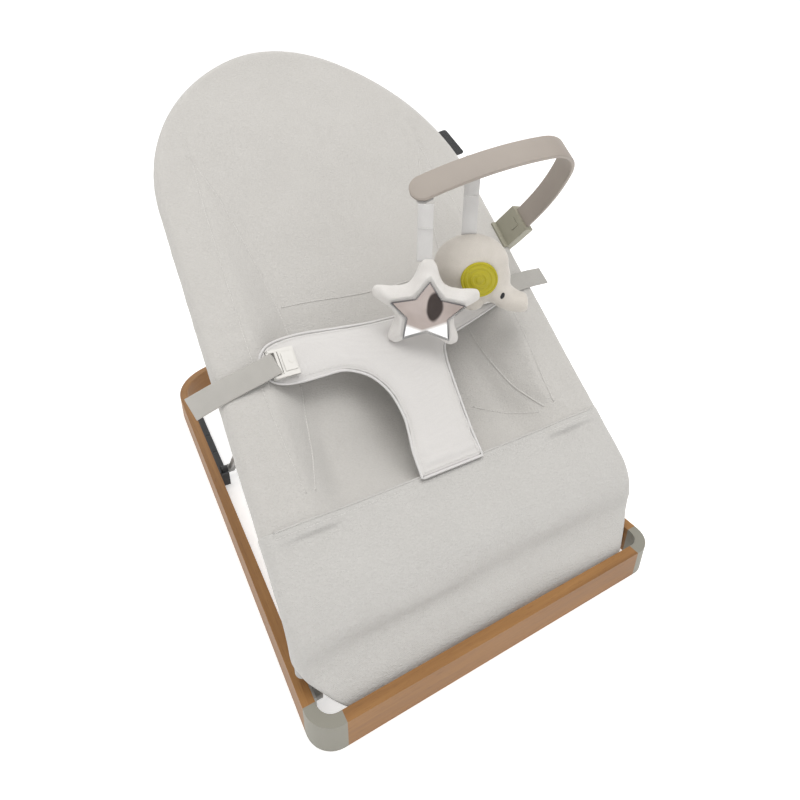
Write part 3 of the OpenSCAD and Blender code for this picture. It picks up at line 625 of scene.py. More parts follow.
def join_pieces(name, pieces):
    """Joins meshes into one object without operators."""
    mesh = bmesh.new()
    for piece in pieces:
        copy = piece.data.copy()
        copy.transform(piece.matrix_world)
        mesh.from_mesh(copy)
        bpy.data.meshes.remove(copy)
    joined = pieces[0]
    mesh.to_mesh(joined.data)
    mesh.free()
    joined.matrix_world = Matrix.Identity(4)
    for piece in pieces[1:]:
        bpy.data.objects.remove(piece)
    joined.name = name
    return joined


# ---------- seat cloth ----------

DEPTH = curve_through([40, 56, 68, 90, 120, 150, 200, 300, 400, 500, 560],
                      [22, 24, 42, 66, 74, 72, 64, 47, 36, 25, 19])


def seat_section(ax, u, run):
    """Share of the full depth: a band beside the tube, a side wall down to the inner seam, and the floor."""
    tub = 0.06 * smooth((HALF_W - ax) / 34) + 0.62 * smooth((170 - ax) / 62)
    tub = tub + 0.32 * smooth((112 - ax) / 112)
    plain = 1 - np.clip(u, 0, 1) ** 2.4
    share = smooth((run - 330) / 180)
    return tub * (1 - share) + plain * share


OUTER_SEAM = [(-158, 540), (-161, 505), (-166, 420), (-169, 330), (-170, 251), (-168, 170), (-163, 110),
              (-161, 84)]
INNER_SEAM = [(-161, 505), (-152, 478), (-143, 450), (-125, 350), (-114, 272), (-119, 200), (-136, 120),
              (-150, 84)]
DART = [(82, 118), (114, 96), (142, 80)]
CROSS_SEAM = [(-112, 297), (-60, 300), (0, 301), (60, 300), (112, 297)]


def mirrored(line):
    return [(-x, run) for x, run in line]


SEAMS = [OUTER_SEAM, INNER_SEAM, mirrored(OUTER_SEAM), mirrored(INNER_SEAM)]


def seat_cloth_height(x, run, u):
    """Height of the seat cloth over the tubes' plane; u is 0 at the middle and 1 at the tube."""
    ax = np.abs(x)
    height = SLEEVE_R - DEPTH(run) * seat_section(ax, u, run)
    for line in SEAMS:
        d = distance_to_line(x, run, line)
        height = height - 0.9 * np.exp(-(d / 3.5) ** 2) + 0.6 * np.exp(-((d - 8) / 5.0) ** 2)
    inside = smooth((HALF_W - ax) / 40)
    height = height + inside * 1.5 * soft_noise(x, run, 80.0, 3.0)
    creases = smooth((ax - 150) / 20) * smooth((480 - run) / 80) * smooth((202 - ax) / 14)
    height = height + 0.9 * soft_noise(x * 0.3, run, 13.0, 7.0) * creases
    low = smooth((150 - run) / 60) * smooth((ax - 60) / 50) * smooth((190 - ax) / 30)
    height = height + 1.8 * soft_noise(x * 0.8 + run * 0.6, run * 0.35, 26.0, 11.0) * low
    return height


def hoop_half_width(run):
    """Half-width of the tube hoop's centre line at a place along it."""
    side = SIDE_X + math.sqrt(max(SIDE_R ** 2 - (run - SIDE_RUN) ** 2, 0.0))
    if run <= SIDE_RUN:
        return HALF_W
    if run <= TOP_L + TOP_R * math.sin(SIDE_TURN):
        return side
    return math.sqrt(max(TOP_R ** 2 - (run - TOP_L) ** 2, 0.0))


def on_seat_cloth(x, run, lift=0.0):
    u = abs(x) / max(hoop_half_width(run), 1.0)
    return place(x, run, float(seat_cloth_height(np.array(x), np.array(run), np.array(u))) + lift)


def along_line(line, step=4.0):
    """Points evenly along a smoothed (x, run) line."""
    length = distances_along(np.array(line, float))[-1]
    points = line_points(line, np.linspace(0, length, max(4, int(length / step))))
    for _ in range(6):
        points[1:-1] = (points[:-2] + 2 * points[1:-1] + points[2:]) / 4
    return points


def build_seat_seams():
    """Flat felled seams on the seat: a raised strip with a row of stitches on it."""
    strips, rows = [], []
    lines = [(line, 3.0) for line in SEAMS] + [(DART, 2.0), (CROSS_SEAM, 2.0)]
    for k, (line, width) in enumerate(lines):
        path = [on_seat_cloth(x, run, 0.2) for x, run in along_line(line)]
        strip = sweep(f"seat_seam_{k}", path_frames(path, OUT), flat_section(width * MM, 0.7 * MM, 0.9))
        merge_doubles(strip)
        strips.append(strip)
        raised = [point + 0.33 * MM * OUT for point in path]
        rows.append(thread_dashes(f"seat_seam_threads_{k}", raised, OUT, 2.4 * MM, 1.0 * MM, 0.2 * MM))
    for name, pieces, made in (("seat_seams", strips, CREPE), ("seat_seam_stitches", rows, THREAD)):
        joined = join_pieces(name, pieces)
        shade(joined)
        put_across(joined, made)


def hoop_stations(first_run, step):
    """Stations round the right half of the hoop: (x, run, outward x, outward run, spine run)."""
    stations = []
    count = int((SIDE_RUN - first_run) / step)
    for i in range(count):
        run = first_run + (SIDE_RUN - first_run) * i / count
        stations.append((HALF_W, run, 1.0, 0.0, run))
    arc_1 = SIDE_R * SIDE_TURN
    arc_2 = TOP_R * (math.pi / 2 - SIDE_TURN)
    count = int((arc_1 + arc_2) / step)
    for i in range(count + 1):
        s = (arc_1 + arc_2) * i / count
        spine = SIDE_RUN + SPINE_RISE * (s / (arc_1 + arc_2)) ** 0.8
        if s < arc_1:
            a, radius, middle_x, middle_run = s / SIDE_R, SIDE_R, SIDE_X, SIDE_RUN
        else:
            a, radius, middle_x, middle_run = SIDE_TURN + (s - arc_1) / TOP_R, TOP_R, 0.0, TOP_L
        ox, orun = math.cos(a), math.sin(a)
        stations.append((middle_x + radius * ox, middle_run + radius * orun, ox, orun, spine))
    return np.array(stations)


def build_seat_cloth():
    """One sheet from the seam to the head, wrapped round the tubes and sunk between them."""
    stations = hoop_stations(SEAM_RUN - 9.0, 3.6)
    wrap = np.radians(np.linspace(-118, 90, 20))
    share = 1 - (1 - np.linspace(0, 1, 58)[1:]) ** 1.25
    halves = []
    x0, run0, ox, orun, spine = stations.T
    for side in (1.0, -1.0):
        rows = []
        ripple = 0.35 * soft_noise(run0 + x0, side * 50.0, 14.0, 1.0)
        ripple = ripple + 0.5 * soft_noise(run0 + x0, side * 90.0, 60.0, 2.0)
        for angle in wrap:
            radius = SLEEVE_R + 0.25 + ripple * (0.4 + 0.6 * math.cos(angle) ** 2)
            x = x0 + ox * radius * math.cos(angle)
            run = run0 + orun * radius * math.cos(angle)
            rows.append(place(side * x, run, radius * math.sin(angle)))
        for f in share:
            x = x0 * (1 - f)
            run = run0 + (spine - run0) * f
            height = seat_cloth_height(side * x, run, np.full_like(x, 1 - f))
            rows.append(place(side * x, run, height + 0.25 * (1 - f)))
        halves.append(np.stack(rows, 1))
    right, left = halves
    columns = right.shape[1]
    faces = grid_faces(len(stations), columns)
    faces += [tuple(i + len(stations) * columns for i in face[::-1]) for face in faces]
    vertices = np.concatenate([right.reshape(-1, 3), left.reshape(-1, 3)])
    piece = new_object("seat_cloth", vertices, faces)
    merge_doubles(piece, 2e-5)
    thicken(piece, 1.3)
    apply_modifiers(piece)
    put_across(piece, CREPE, ["seat_sling", "back_sling", "lower_sleeves", "upper_sleeve"])


# ---------- front panel ----------

# Half-widths of the sheet at places from the hem up, on the two sides
HEM_PLACES = [-97, -84, -70, -58, -46, -36]
LEFT_WIDTHS = [172, 185, 198, 203, 204, 204]
RIGHT_WIDTHS = [166, 177, 192, 201, 204, 204]


def panel_ripple(run):
    """How far the sheet stands off the tubes more or less along them."""
    return 0.6 * noise.noise(Vector((run / 23.0, 4.0, 0)))


def panel_flare(run):
    """How far the front sheet leans out towards the rail near its hem, and how near the hem that is."""
    low = float(smooth((-48 - run) / (-48 - HEM_RUN)))
    return 28.5 * low ** 1.15, low


def panel_height(v, x, run):
    """Height of the front sheet over the tubes' plane; v is -1 at the left tube and 1 at the right one."""
    sag = 16.5 * float(smooth((run + 25) / (SEAM_RUN + 25))) + 2.0
    flare, low = panel_flare(run)
    height = SLEEVE_R + 0.9 + panel_ripple(run) - sag * (1 - abs(v) ** 2.8) + flare
    height += 1.2 * noise.noise(Vector((x / 85.0, run / 30.0, 2.0))) * (1 - low)
    height += 1.0 * low * noise.noise(Vector((x / 70.0, run / 60.0, 9.0)))
    mid = float(smooth((-10 - run) / 40)) * (1 - low)
    height += 2.6 * noise.noise(Vector((x / 120.0 + run / 60.0, run / 22.0, 5.0))) * mid
    height = min(height, SLEEVE_R + 29.6)
    if run < SEAM_RUN - 12:
        return height
    over = float(seat_cloth_height(np.array(x), np.array(run), np.array(abs(v)))) + 1.1
    return max(height, over)


def build_front_panel():
    """One sheet from the seam round the knee to the hem, wrapped round the legs at both sides."""
    runs = np.concatenate([np.linspace(HEM_RUN, -60, 26)[:-1], np.linspace(-60, SEAM_RUN + 1.0, 44)])
    across = np.linspace(1, -1, 150)
    rows = []
    for run in runs:
        start = -105 + 105 * float(smooth((-76 - run) / 20))
        wrap = np.radians(np.linspace(start, 90, 16))[:-1]
        right = float(np.interp(run, HEM_PLACES, RIGHT_WIDTHS))
        left = float(np.interp(run, HEM_PLACES, LEFT_WIDTHS))
        radius = SLEEVE_R + 0.9 + panel_ripple(run)
        rise = radius + panel_flare(run)[0]
        row = [place(right + radius * math.cos(a), run, rise * math.sin(a)) for a in wrap]
        for v in across:
            x = v * (right if v > 0 else left)
            row.append(place(x, run, panel_height(v, x, run)))
        row += [place(-left - radius * math.cos(a), run, rise * math.sin(a)) for a in wrap[::-1]]
        rows.append(np.array(row))
    piece = grid_object("front_panel_cloth", np.array(rows), flip=True)
    merge_doubles(piece, 2e-5)
    thicken(piece, 1.3)
    subdivide(piece)
    put(piece, "cradle", CREPE_FRONT, ["front_panel"])


def build_panel_edges():
    """The folded and stitched top edge of the front panel."""
    top, line = [], []
    for v in np.linspace(-0.99, 0.99, 110):
        x = v * HALF_W
        top.append(place(x, SEAM_RUN + 0.6, panel_height(v, x, SEAM_RUN + 0.6) - 0.3))
        line.append(place(x, SEAM_RUN - 5.5, panel_height(v, x, SEAM_RUN - 5.5) + 0.1))
    fold = sweep("front_panel_fold", path_frames(top, OUT), round_section(1.2 * MM, 8))
    put(fold, "cradle", CREPE_FRONT)
    stitches = thread_dashes("front_panel_stitches", line, OUT, 2.6 * MM, 1.0 * MM, 0.22 * MM)
    put(stitches, "cradle", THREAD)


# ---------- harness ----------

PAD_T = 7.0
CROTCH_END = 56.0
WING_REACH = 157.0
GROOVES = (78, 66)


def harness_outline():
    """The T pad's outline in (x, run), from the crotch's left corner round to its right corner."""
    left = [(-37.5, 57), (-34, 85), (-29, 110), (-27, 129), (-31, 157), (-43, 179), (-58, 191), (-76, 197.5),
            (-100, 197), (-125, 196), (-146, 198), (-158, 205), (-164, 219), (-159, 235), (-144, 246),
            (-110, 251), (-60, 249), (-13, 247)]
    right = [(40, 249), (90, 256), (128, 263), (150, 264), (165, 257), (171, 245), (166, 233), (150, 226),
             (122, 218), (99, 212), (76, 206), (61, 196), (55, 180), (52, 160), (49, 132), (47, 110),
             (44.5, 85), (41.5, 57)]
    return left + right


def smooth_closed(points, count, sharp=()):
    """A closed smooth curve through points, evenly sampled; points listed in sharp stay corners."""
    points = np.array(points, float)
    n = len(points)
    out = []
    for i in range(n):
        p0, p1, p2, p3 = (points[(i + k) % n] for k in (-1, 0, 1, 2))
        if i in sharp and (i + 1) % n in sharp:
            out.extend(p1 + (p2 - p1) * t for t in np.linspace(0, 1, 12, endpoint=False))
            continue
        if i in sharp:
            p0 = p1
        if (i + 1) % n in sharp:
            p3 = p2
        for t in np.linspace(0, 1, 12, endpoint=False):
            out.append(0.5 * ((2 * p1) + (p2 - p0) * t + (2 * p0 - 5 * p1 + 4 * p2 - p3) * t * t
                              + (3 * p1 - p0 - 3 * p2 + p3) * t ** 3))
    closed = np.array(out + out[:1])
    return line_points(closed, np.linspace(0, distances_along(closed)[-1], count, endpoint=False))


def harness_height(x, run):
    """Height of the pad's underside over the tubes' plane."""
    rise = -12.0 + 13.4 * (np.abs(x) / WING_REACH) ** 2
    start = smooth((run - CROTCH_END) / 40)
    return rise * start - 6.6 * (1 - start)


def flat_pad(name, outline, thickness, voxel):
    """A closed slab with that outline and thickness, in millimetres, remeshed evenly."""
    count = len(outline)
    vertices = [(x * MM, y * MM, z * MM) for z in (0.0, thickness) for x, y in outline]
    faces = [tuple(range(count))[::-1], tuple(range(count, 2 * count))]
    faces += [(i, (i + 1) % count, count + (i + 1) % count, count + i) for i in range(count)]
    piece = new_object(name, vertices, faces)
    remesh(piece, voxel)
    return piece


def inflate(piece, pressure, cap, frames=20):
    """Puffs a closed mesh with a short cloth simulation, and limits how far a point may move, in
    millimetres."""
    scene = bpy.context.scene
    rest = points_of(piece)
    modifier = piece.modifiers.new("cloth", "CLOTH")
    settings = modifier.settings
    settings.use_pressure = True
    settings.uniform_pressure_force = pressure
    settings.effector_weights.gravity = 0.0
    settings.tension_stiffness = 12.0
    settings.compression_stiffness = 12.0
    settings.shear_stiffness = 6.0
    settings.bending_stiffness = 0.4
    modifier.point_cache.frame_start = 1
    modifier.point_cache.frame_end = frames
    for number in range(1, frames + 1):
        scene.frame_set(number)
    apply_modifiers(piece)
    scene.frame_set(1)
    shift = points_of(piece) - rest
    length = np.linalg.norm(shift, axis=1, keepdims=True)
    shift *= np.minimum(1.0, cap / np.maximum(length, 1e-6))
    move_points(piece, (rest + shift) * MM)


def relax(piece, rounds):
    """Evens a mesh out."""
    mesh = bmesh.new()
    mesh.from_mesh(piece.data)
    axes = {"use_axis_x": True, "use_axis_y": True, "use_axis_z": True}
    for _ in range(rounds):
        bmesh.ops.smooth_vert(mesh, verts=mesh.verts, factor=0.5, **axes)
    mesh.to_mesh(piece.data)
    mesh.free()


def pad_edge_distance(x, y, outline):
    return distance_to_line(x, y, np.vstack([outline, outline[:1]]))


def build_harness():
    """The padded T: a puffed slab with thin edges and two sewn grooves, laid over the seat."""
    outline = smooth_closed(harness_outline(), 420, sharp=(0, 35))
    piece = flat_pad("harness_pad", outline, PAD_T, 3.0)
    inflate(piece, 2.0, 1.6)
    relax(piece, 2)
    x, run, z = points_of(piece).T
    middle = PAD_T / 2
    edge = pad_edge_distance(x, run, outline)
    crown = smooth(edge / 16.0)
    height = (z - middle) * (0.42 + 0.58 * crown) + middle
    height = height + 0.5 * soft_noise(x, run, 42.0, 5.0) * crown
    groove = sum(np.exp(-((run - place_of_groove) / 1.6) ** 2) for place_of_groove in GROOVES)
    height = height - 1.9 * groove * (z > middle) * smooth((edge - 2) / 5)
    move_points(piece, place(x, run, harness_height(x, run) + height))
    subdivide(piece)
    apply_modifiers(piece)
    shade(piece)
    put_across(piece, HARNESS, ["crotch_pad", "waist_pad"])
    build_harness_edge(outline)


def build_harness_edge(outline):
    """The pad's piping, and a row of stitches inside it."""
    path = [place(x, run, harness_height(x, run) + PAD_T / 2) for x, run in outline]
    piping = sweep("harness_piping", path_frames(path, OUT), round_section(1.6 * MM, 8), closed_path=True)
    put_across(piping, PIPING)
    sewn = []
    for i, point in enumerate(outline):
        tangent = unit(outline[(i + 1) % len(outline)] - outline[i - 1])
        x, run = point + 5.0 * np.array([tangent[1], -tangent[0]])
        sewn.append(place(x, run, harness_height(x, run) + 6.7))
    stitches = thread_dashes("harness_stitches", sewn + sewn[:1], OUT, 2.6 * MM, 0.9 * MM, 0.22 * MM)
    put_across(stitches, THREAD)


# ---------- straps and buckles ----------

SIDES = {"left": -1, "right": 1}
BUCKLE_X = 141.0
BUCKLE_RUN = {"left": 218.0, "right": 243.0}
BUCKLE_HEIGHT = 10.8
STRAP_X = 149.0
STRAP_TURN = {"left": -13.5, "right": 3.5}
STRAP_PROFILE = [(-1.0, 8.6), (-0.6, 12.0), (0.6, 14.0), (4, 14.4), (8, 13.7), (16, 12.6), (28, 12.3),
                 (40, 12.2), (52, 12.1), (60, 12.0), (70, 11.0), (80, 9.2), (88, 7.6), (94, 6.6)]


def strap_point(side, along, across, height):
    """A place on a side strap that leaves the buckle at an angle, in metres."""
    angle = math.radians(STRAP_TURN[side])
    x = STRAP_X + along * math.cos(angle) - across * math.sin(angle)
    run = BUCKLE_RUN[side] + along * math.sin(angle) + across * math.cos(angle)
    return place(SIDES[side] * x, run, height)


def build_strap(side):
    """Webbing hooked through the buckle and laid over the sleeve, with a loose tail."""
    stations = []
    for i, (along, height) in enumerate(STRAP_PROFILE):
        point = strap_point(side, along, 0, height)
        across = unit(strap_point(side, along, 1, height) - point)
        before, after = neighbours(STRAP_PROFILE, i)
        ahead = strap_point(side, after[0], 0, after[1]) - strap_point(side, before[0], 0, before[1])
        stations.append((point, across, unit(np.cross(ahead, across) * SIDES[side])))
    piece = sweep(f"side_strap_{side}_webbing", stations, flat_section(25 * MM, 2.6 * MM, 0.6))
    merge_doubles(piece)
    bevel(piece, 0.5, 2)
    put(piece, "backrest", WEBBING, [f"side_strap_{side}"])


def box_mesh(name, size, middle):
    """A box with that size and middle, in millimetres."""
    corners = [(x, y, z) for x in (-1, 1) for y in (-1, 1) for z in (-1, 1)]
    vertices = [(np.array(middle) + np.array(size) * corner / 2) * MM for corner in corners]
    faces = [(0, 1, 3, 2), (4, 6, 7, 5), (0, 4, 5, 1), (2, 3, 7, 6), (0, 2, 6, 4), (1, 5, 7, 3)]
    return new_object(name, vertices, faces, False)


def seat_matrix(x, run, height, turn):
    """Axes of a small part on the seat: X across, Y along the tubes, Z out, turned about Z."""
    origin = Vector(place(x, run, height))
    axes = Matrix((Vector((1, 0, 0)), Vector(ALONG), Vector(OUT))).transposed().to_4x4()
    return Matrix.Translation(origin) @ axes @ Matrix.Rotation(turn, 4, "Z")


def build_buckle(side):
    """Moulded ladder buckle: outer frame, two bars, a raised back plate and two spring slots."""
    turn = 0.0 if side == "right" else math.pi
    matrix = seat_matrix(SIDES[side] * BUCKLE_X, BUCKLE_RUN[side], BUCKLE_HEIGHT, turn)
    parts = [
        ((30, 3.6, 4.2), (0, 14.7, 0)), ((30, 3.6, 4.2), (0, -14.7, 0)),
        ((3.4, 33, 4.2), (13.3, 0, 0)), ((3.2, 33, 3.6), (4.6, 0, 0)),
        ((17.6, 33, 4.4), (-6.2, 0, 0)), ((13.6, 22, 1.2), (-6.6, 0, 2.6)),
    ]
    name = f"buckle_{side}_frame"
    body = join_pieces(name, [box_mesh(f"{name}_part_{k}", *part) for k, part in enumerate(parts)])
    body.data.transform(matrix)
    shade(body)
    bevel(body, 0.7)
    put(body, "backrest", WHITE_PLASTIC, [f"buckle_{side}"])
    slots = [box_mesh(f"{name}_slot_{k}", (3.2, 2.2, 0.4), (-9.8, across, 2.35))
             for k, across in enumerate((-9.5, 9.5))]
    springs = join_pieces(f"{name}_springs", slots)
    springs.data.transform(matrix)
    put(springs, "backrest", STEEL)


# ---------- toy bar ----------

CLAMP_RUN = 321.0
MOUTH = (224.0, 46.0)
LEAN = 75.0
BAR_ARCS = ((189.0, 32.0), (50.0, 78.0), (351.0, 24.0))
BAND_W = 30.0
BAND_T = 5.0


def bar_stations():
    """Centre line of the band in the plane square to the tube, (x, out, heading), and its straight tail."""
    heading = math.radians(LEAN)
    x, out = MOUTH
    stations = [(x - 20 * math.cos(heading), out - 20 * math.sin(heading), heading), (x, out, heading)]
    for radius, turn in BAR_ARCS:
        steps = max(10, int(turn * math.pi / 180 * radius / 3.0))
        middle_x = x - radius * math.sin(heading)
        middle_out = out + radius * math.cos(heading)
        for i in range(1, steps + 1):
            a = heading + math.radians(turn) * i / steps
            stations.append((middle_x + radius * math.sin(a), middle_out - radius * math.cos(a), a))
        x, out, heading = stations[-1]
    tail = 4.0 + BAND_W / 2
    for s in np.linspace(0.5, tail, 24):
        stations.append((x + s * math.cos(heading), out + s * math.sin(heading), heading))
    return stations, tail


def band_section(half):
    """A rounded section of the band, as (across, off) points, with that half-width."""
    thin = BAND_T / 2
    r = min(1.6, half * 0.5)
    section = []
    for across, off, start in ((-1, -1, 180), (1, -1, 270), (1, 1, 0), (-1, 1, 90)):
        for k in range(5):
            a = math.radians(start + 22.5 * k)
            section.append((across * (half - r) + r * math.cos(a), off * (thin - r) + r * math.sin(a)))
    return section


def build_toy_bar():
    """The bent band, narrowed to a round end."""
    stations, tail = bar_stations()
    end_x, end_out, _ = stations[-1]
    vertices = []
    for x, out, heading in stations:
        left_over = math.hypot(end_x - x, end_out - out)
        half = BAND_W / 2
        if left_over < min(half, tail):
            half = math.sqrt(max(half ** 2 - (half - left_over) ** 2, 0.4))
        section = band_section(half)
        for across, off in section:
            x_off = -math.sin(heading) * off
            vertices.append(place(x + x_off, CLAMP_RUN + across, out + math.cos(heading) * off))
    piece = new_object("toy_bar_band", vertices, ring_faces(len(stations), len(section)))
    merge_doubles(piece)
    put(piece, "toy_bar_unit", BAR_PLASTIC, ["toy_bar"])


# ---------- hanging toys ----------

TOY_TURN = math.radians(-30)


def toy_matrix(node, height=None):
    """Axes of a hanging toy: X across, Y away from the viewer, Z up, at its CAD node's middle."""
    low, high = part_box(node)
    origin = (low + high) / 2
    if height is not None:
        origin.z = height
    return Matrix.Translation(origin) @ Matrix.Rotation(TOY_TURN, 4, "Z")


def star_outline(tip, valley, count=200, round_tips=True):
    """A five-pointed star's outline, with its points rounded or sharp."""
    points = []
    for i in range(5):
        for angle, radius in ((-7, tip * 0.97), (0, tip), (7, tip * 0.97), (36, valley)):
            if not round_tips and angle in (-7, 7):
                continue
            a = math.radians(72 * i + angle)
            points.append((radius * math.sin(a), radius * math.cos(a)))
    if round_tips:
        return smooth_closed(points, count)
    closed = np.array(points + points[:1])
    out = []
    for a, b in zip(closed[:-1], closed[1:]):
        out.extend(a + (b - a) * t for t in np.linspace(0, 1, count // 10, endpoint=False))
    return np.array(out)


def puffed(name, outline, thickness, voxel, pressure, cap, crown, edge_width):
    """A stuffed toy shape: a slab puffed by a short simulation and crowned towards its middle."""
    piece = flat_pad(name, outline, thickness, voxel)
    inflate(piece, pressure, cap)
    relax(piece, 3)
    x, y, z = points_of(piece).T
    edge = pad_edge_distance(x, y, outline)
    z = (z - thickness / 2) * (0.35 + crown * np.sqrt(np.clip(edge / edge_width, 0, 1)))
    move_points(piece, np.stack([x, y, z], -1) * MM)
    subdivide(piece)
    return piece


def stand_up(piece, matrix, smooth_shading=True):
    """Turns a flat shape in XY into a hanging one in XZ, facing the viewer, at the matrix's place."""
    piece.data.transform(matrix @ Matrix.Rotation(math.pi / 2, 4, "X"))
    shade(piece, smooth_shading)


MIRROR_MIDDLE = (3.0, -6.5)
MIRROR_TIP = 43.6
MIRROR_VALLEY = 24.0
MIRROR_SQUASH = 0.88
MIRROR_HEIGHT = 8.2


def star_radius(x, y, tip, valley):
    """Distance from a star's middle to its edge in the direction of (x, y)."""
    turn = np.abs((np.degrees(np.arctan2(x, y)) + 36) % 72 - 36)
    angle = np.radians(turn)
    half = math.radians(36)
    across = valley * math.sin(half)
    along = tip - valley * math.cos(half)
    return tip * across / (across * np.cos(angle) + along * np.sin(angle))


def press_mirror_bed(piece):
    """Presses the star's front flat inside the mirror's outline, with a soft rim round it."""
    points = points_of(piece)
    x = points[:, 0] - MIRROR_MIDDLE[0]
    y = (points[:, 1] - MIRROR_MIDDLE[1]) / MIRROR_SQUASH
    share = np.hypot(x, y) / star_radius(x, y, MIRROR_TIP, MIRROR_VALLEY)
    limit = 7.0 + 8.0 * smooth((share - 1.06) / 0.5)
    points[:, 2] = np.where(points[:, 2] > 0, np.minimum(points[:, 2], limit), points[:, 2])
    move_points(piece, points * MM)


def build_star():
    """A stuffed star with a flat bed in its front for the mirror film."""
    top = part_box("star_plush")[1].z
    matrix = toy_matrix("star_plush", top - 0.0615) @ Matrix.Rotation(math.radians(2), 4, "Y")
    matrix = matrix @ Matrix.Translation((0.0025, 0, 0))
    outline = star_outline(66, 41) * np.array([1.0, 0.9])
    star = puffed("star_toy", outline, 9, 2.6, 5.0, 4.0, 1.1, 20)
    apply_modifiers(star)
    press_mirror_bed(star)
    stand_up(star, matrix)
    put(star, "star", PLUSH, ["star_plush"])
    build_mirror(matrix)


def build_mirror(matrix):
    """The star's mirror film: a shallow faceted star with its edge turned down."""
    line = star_outline(MIRROR_TIP, MIRROR_VALLEY, 210, False) * np.array([1.0, MIRROR_SQUASH])
    line = line + np.array(MIRROR_MIDDLE)
    count = len(line)
    vertices = [np.array((*MIRROR_MIDDLE, MIRROR_HEIGHT + 0.5)) * MM]
    for height in (MIRROR_HEIGHT, MIRROR_HEIGHT - 3.0):
        vertices += [(x * MM, y * MM, height * MM) for x, y in line]
    faces = []
    for i in range(count):
        near, far = 1 + i, 1 + (i + 1) % count
        faces += [(0, near, far), (near, near + count, far + count, far)]
    film = new_object("star_mirror_patch", vertices, faces, False)
    stand_up(film, matrix, False)
    put(film, "star", MIRROR, ["star_mirror"])
    build_zigzag(line, matrix)


def build_zigzag(line, matrix):
    """Dark zigzag thread that holds the mirror film's edge."""
    world = matrix @ Matrix.Rotation(math.pi / 2, 4, "X")
    normal = (world.to_3x3() @ Vector((0, 0, 1))).normalized()
    path = []
    for i, point in enumerate(line):
        reach, lift = (2.4, 2.1) if i % 2 else (-0.6, 0.7)
        x, y = point + unit(point - np.array(MIRROR_MIDDLE)) * reach
        path.append(world @ (Vector((x, y, MIRROR_HEIGHT + lift)) * MM))
    thread = sweep("star_zigzag", path_frames(path, normal), round_section(0.3 * MM, 6), closed_path=True)
    put(thread, "star", DARK_THREAD)


def build_ribbon(name, body, node, tab_share):
    """A toy's ribbon: its end folded back over itself and sewn, so that its upper part is double."""
    low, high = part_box(node)
    centre = (low + high) / 2
    across = Vector((math.cos(TOY_TURN), math.sin(TOY_TURN), 0))
    away = Vector((-math.sin(TOY_TURN), math.cos(TOY_TURN), 0))
    top, bottom = high.z + 0.006, low.z
    edge = top - (top - bottom) * tab_share
    pieces = []
    for k, (first, depth, width) in enumerate(((bottom, 0.0, 17.0), (edge, -1.25, 16.6))):
        path = []
        for z in np.linspace(first, top, 25):
            bow = 0.6 * math.sin(math.pi * (z - bottom) / (top - bottom))
            path.append((Vector((centre.x, centre.y, z)) + away * (depth + bow) * MM, across, -away))
        strip = sweep(f"{name}_layer_{k}", path, flat_section(width * MM, 1.1 * MM, 0.8))
        merge_doubles(strip)
        pieces.append(strip)
    put(join_pieces(name, pieces), body, RIBBON, [node])
    seam_middle = Vector((centre.x, centre.y, edge + 1.2 * MM)) - away * 1.9 * MM
    line = [seam_middle + across * x * MM for x in (-7.5, 0, 7.5)]
    seam = thread_dashes(f"{name}_stitches", line, np.array(-away), 1.8 * MM, 0.7 * MM, 0.2 * MM)
    put(seam, body, THREAD)


def ellipsoid(name, radii, middle=(0, 0, 0), segments=40, rings=24):
    """An ellipsoid with those radii round a middle, in millimetres."""
    mesh = bmesh.new()
    bmesh.ops.create_uvsphere(mesh, u_segments=segments, v_segments=rings, radius=1.0)
    bmesh.ops.scale(mesh, vec=[r * MM for r in radii], verts=mesh.verts)
    data = bpy.data.meshes.new(name)
    mesh.to_mesh(data)
    mesh.free()
    data.transform(Matrix.Translation(Vector(middle) * MM))
    return link_mesh(name, data)


def tube_mesh(name, points, radii, sides=20):
    """A closed tube with a radius at each point and flat ends, in millimetres."""
    path = path_frames(np.array(points, float) * MM, (0, 1, 0))
    return sweep(name, path, round_section(1 * MM, sides), scales=radii)


def front_of(piece, x, z):
    """How far a piece's front stands out towards the viewer at a place, in its own axes and millimetres."""
    corners = [v.co for v in piece.data.vertices]
    tree = BVHTree.FromPolygons(corners, [p.vertices for p in piece.data.polygons])
    hit = tree.ray_cast(Vector((x, -100, z)) * MM, Vector((0, 1, 0)))[0]
    return -hit.y / MM


TRUNK = [(24, 0, -22), (34, 0, -33), (44, 0, -41), (54, 0, -46), (64, 0, -48.5), (71, 0, -48.5)]
TRUNK_RADII = [18, 18, 16.5, 15, 13.5, 11.5]
EAR_PLACE = (8, -12)
EYE_PLACE = (36.5, -32)


def build_elephant():
    """A stuffed elephant head: round body, face and trunk, remeshed into one skin."""
    matrix = toy_matrix("elephant_body")
    piece = join_pieces("elephant_toy", [
        ellipsoid("elephant_toy", (45, 18, 38)),
        ellipsoid("elephant_face", (26, 17, 31), (23, 0, -18)),
        tube_mesh("elephant_trunk_skin", TRUNK, TRUNK_RADII),
        ellipsoid("elephant_lobe", (17, 12, 14), (-6, 0, -30)),
        ellipsoid("elephant_leg", (17, 11, 19), (4, 2, -43)),
    ])
    remesh(piece, 2.4)
    inflate(piece, 3.0, 1.5)
    relax(piece, 4)
    subdivide(piece)
    apply_modifiers(piece)
    ear_out = front_of(piece, *EAR_PLACE) - 0.8
    eye_out = front_of(piece, *EYE_PLACE) - 0.4
    piece.data.transform(matrix)
    shade(piece)
    put(piece, "elephant", ELEPHANT, ["elephant_body", "elephant_trunk"])
    build_ear(matrix, ear_out)
    build_eye(matrix, eye_out)


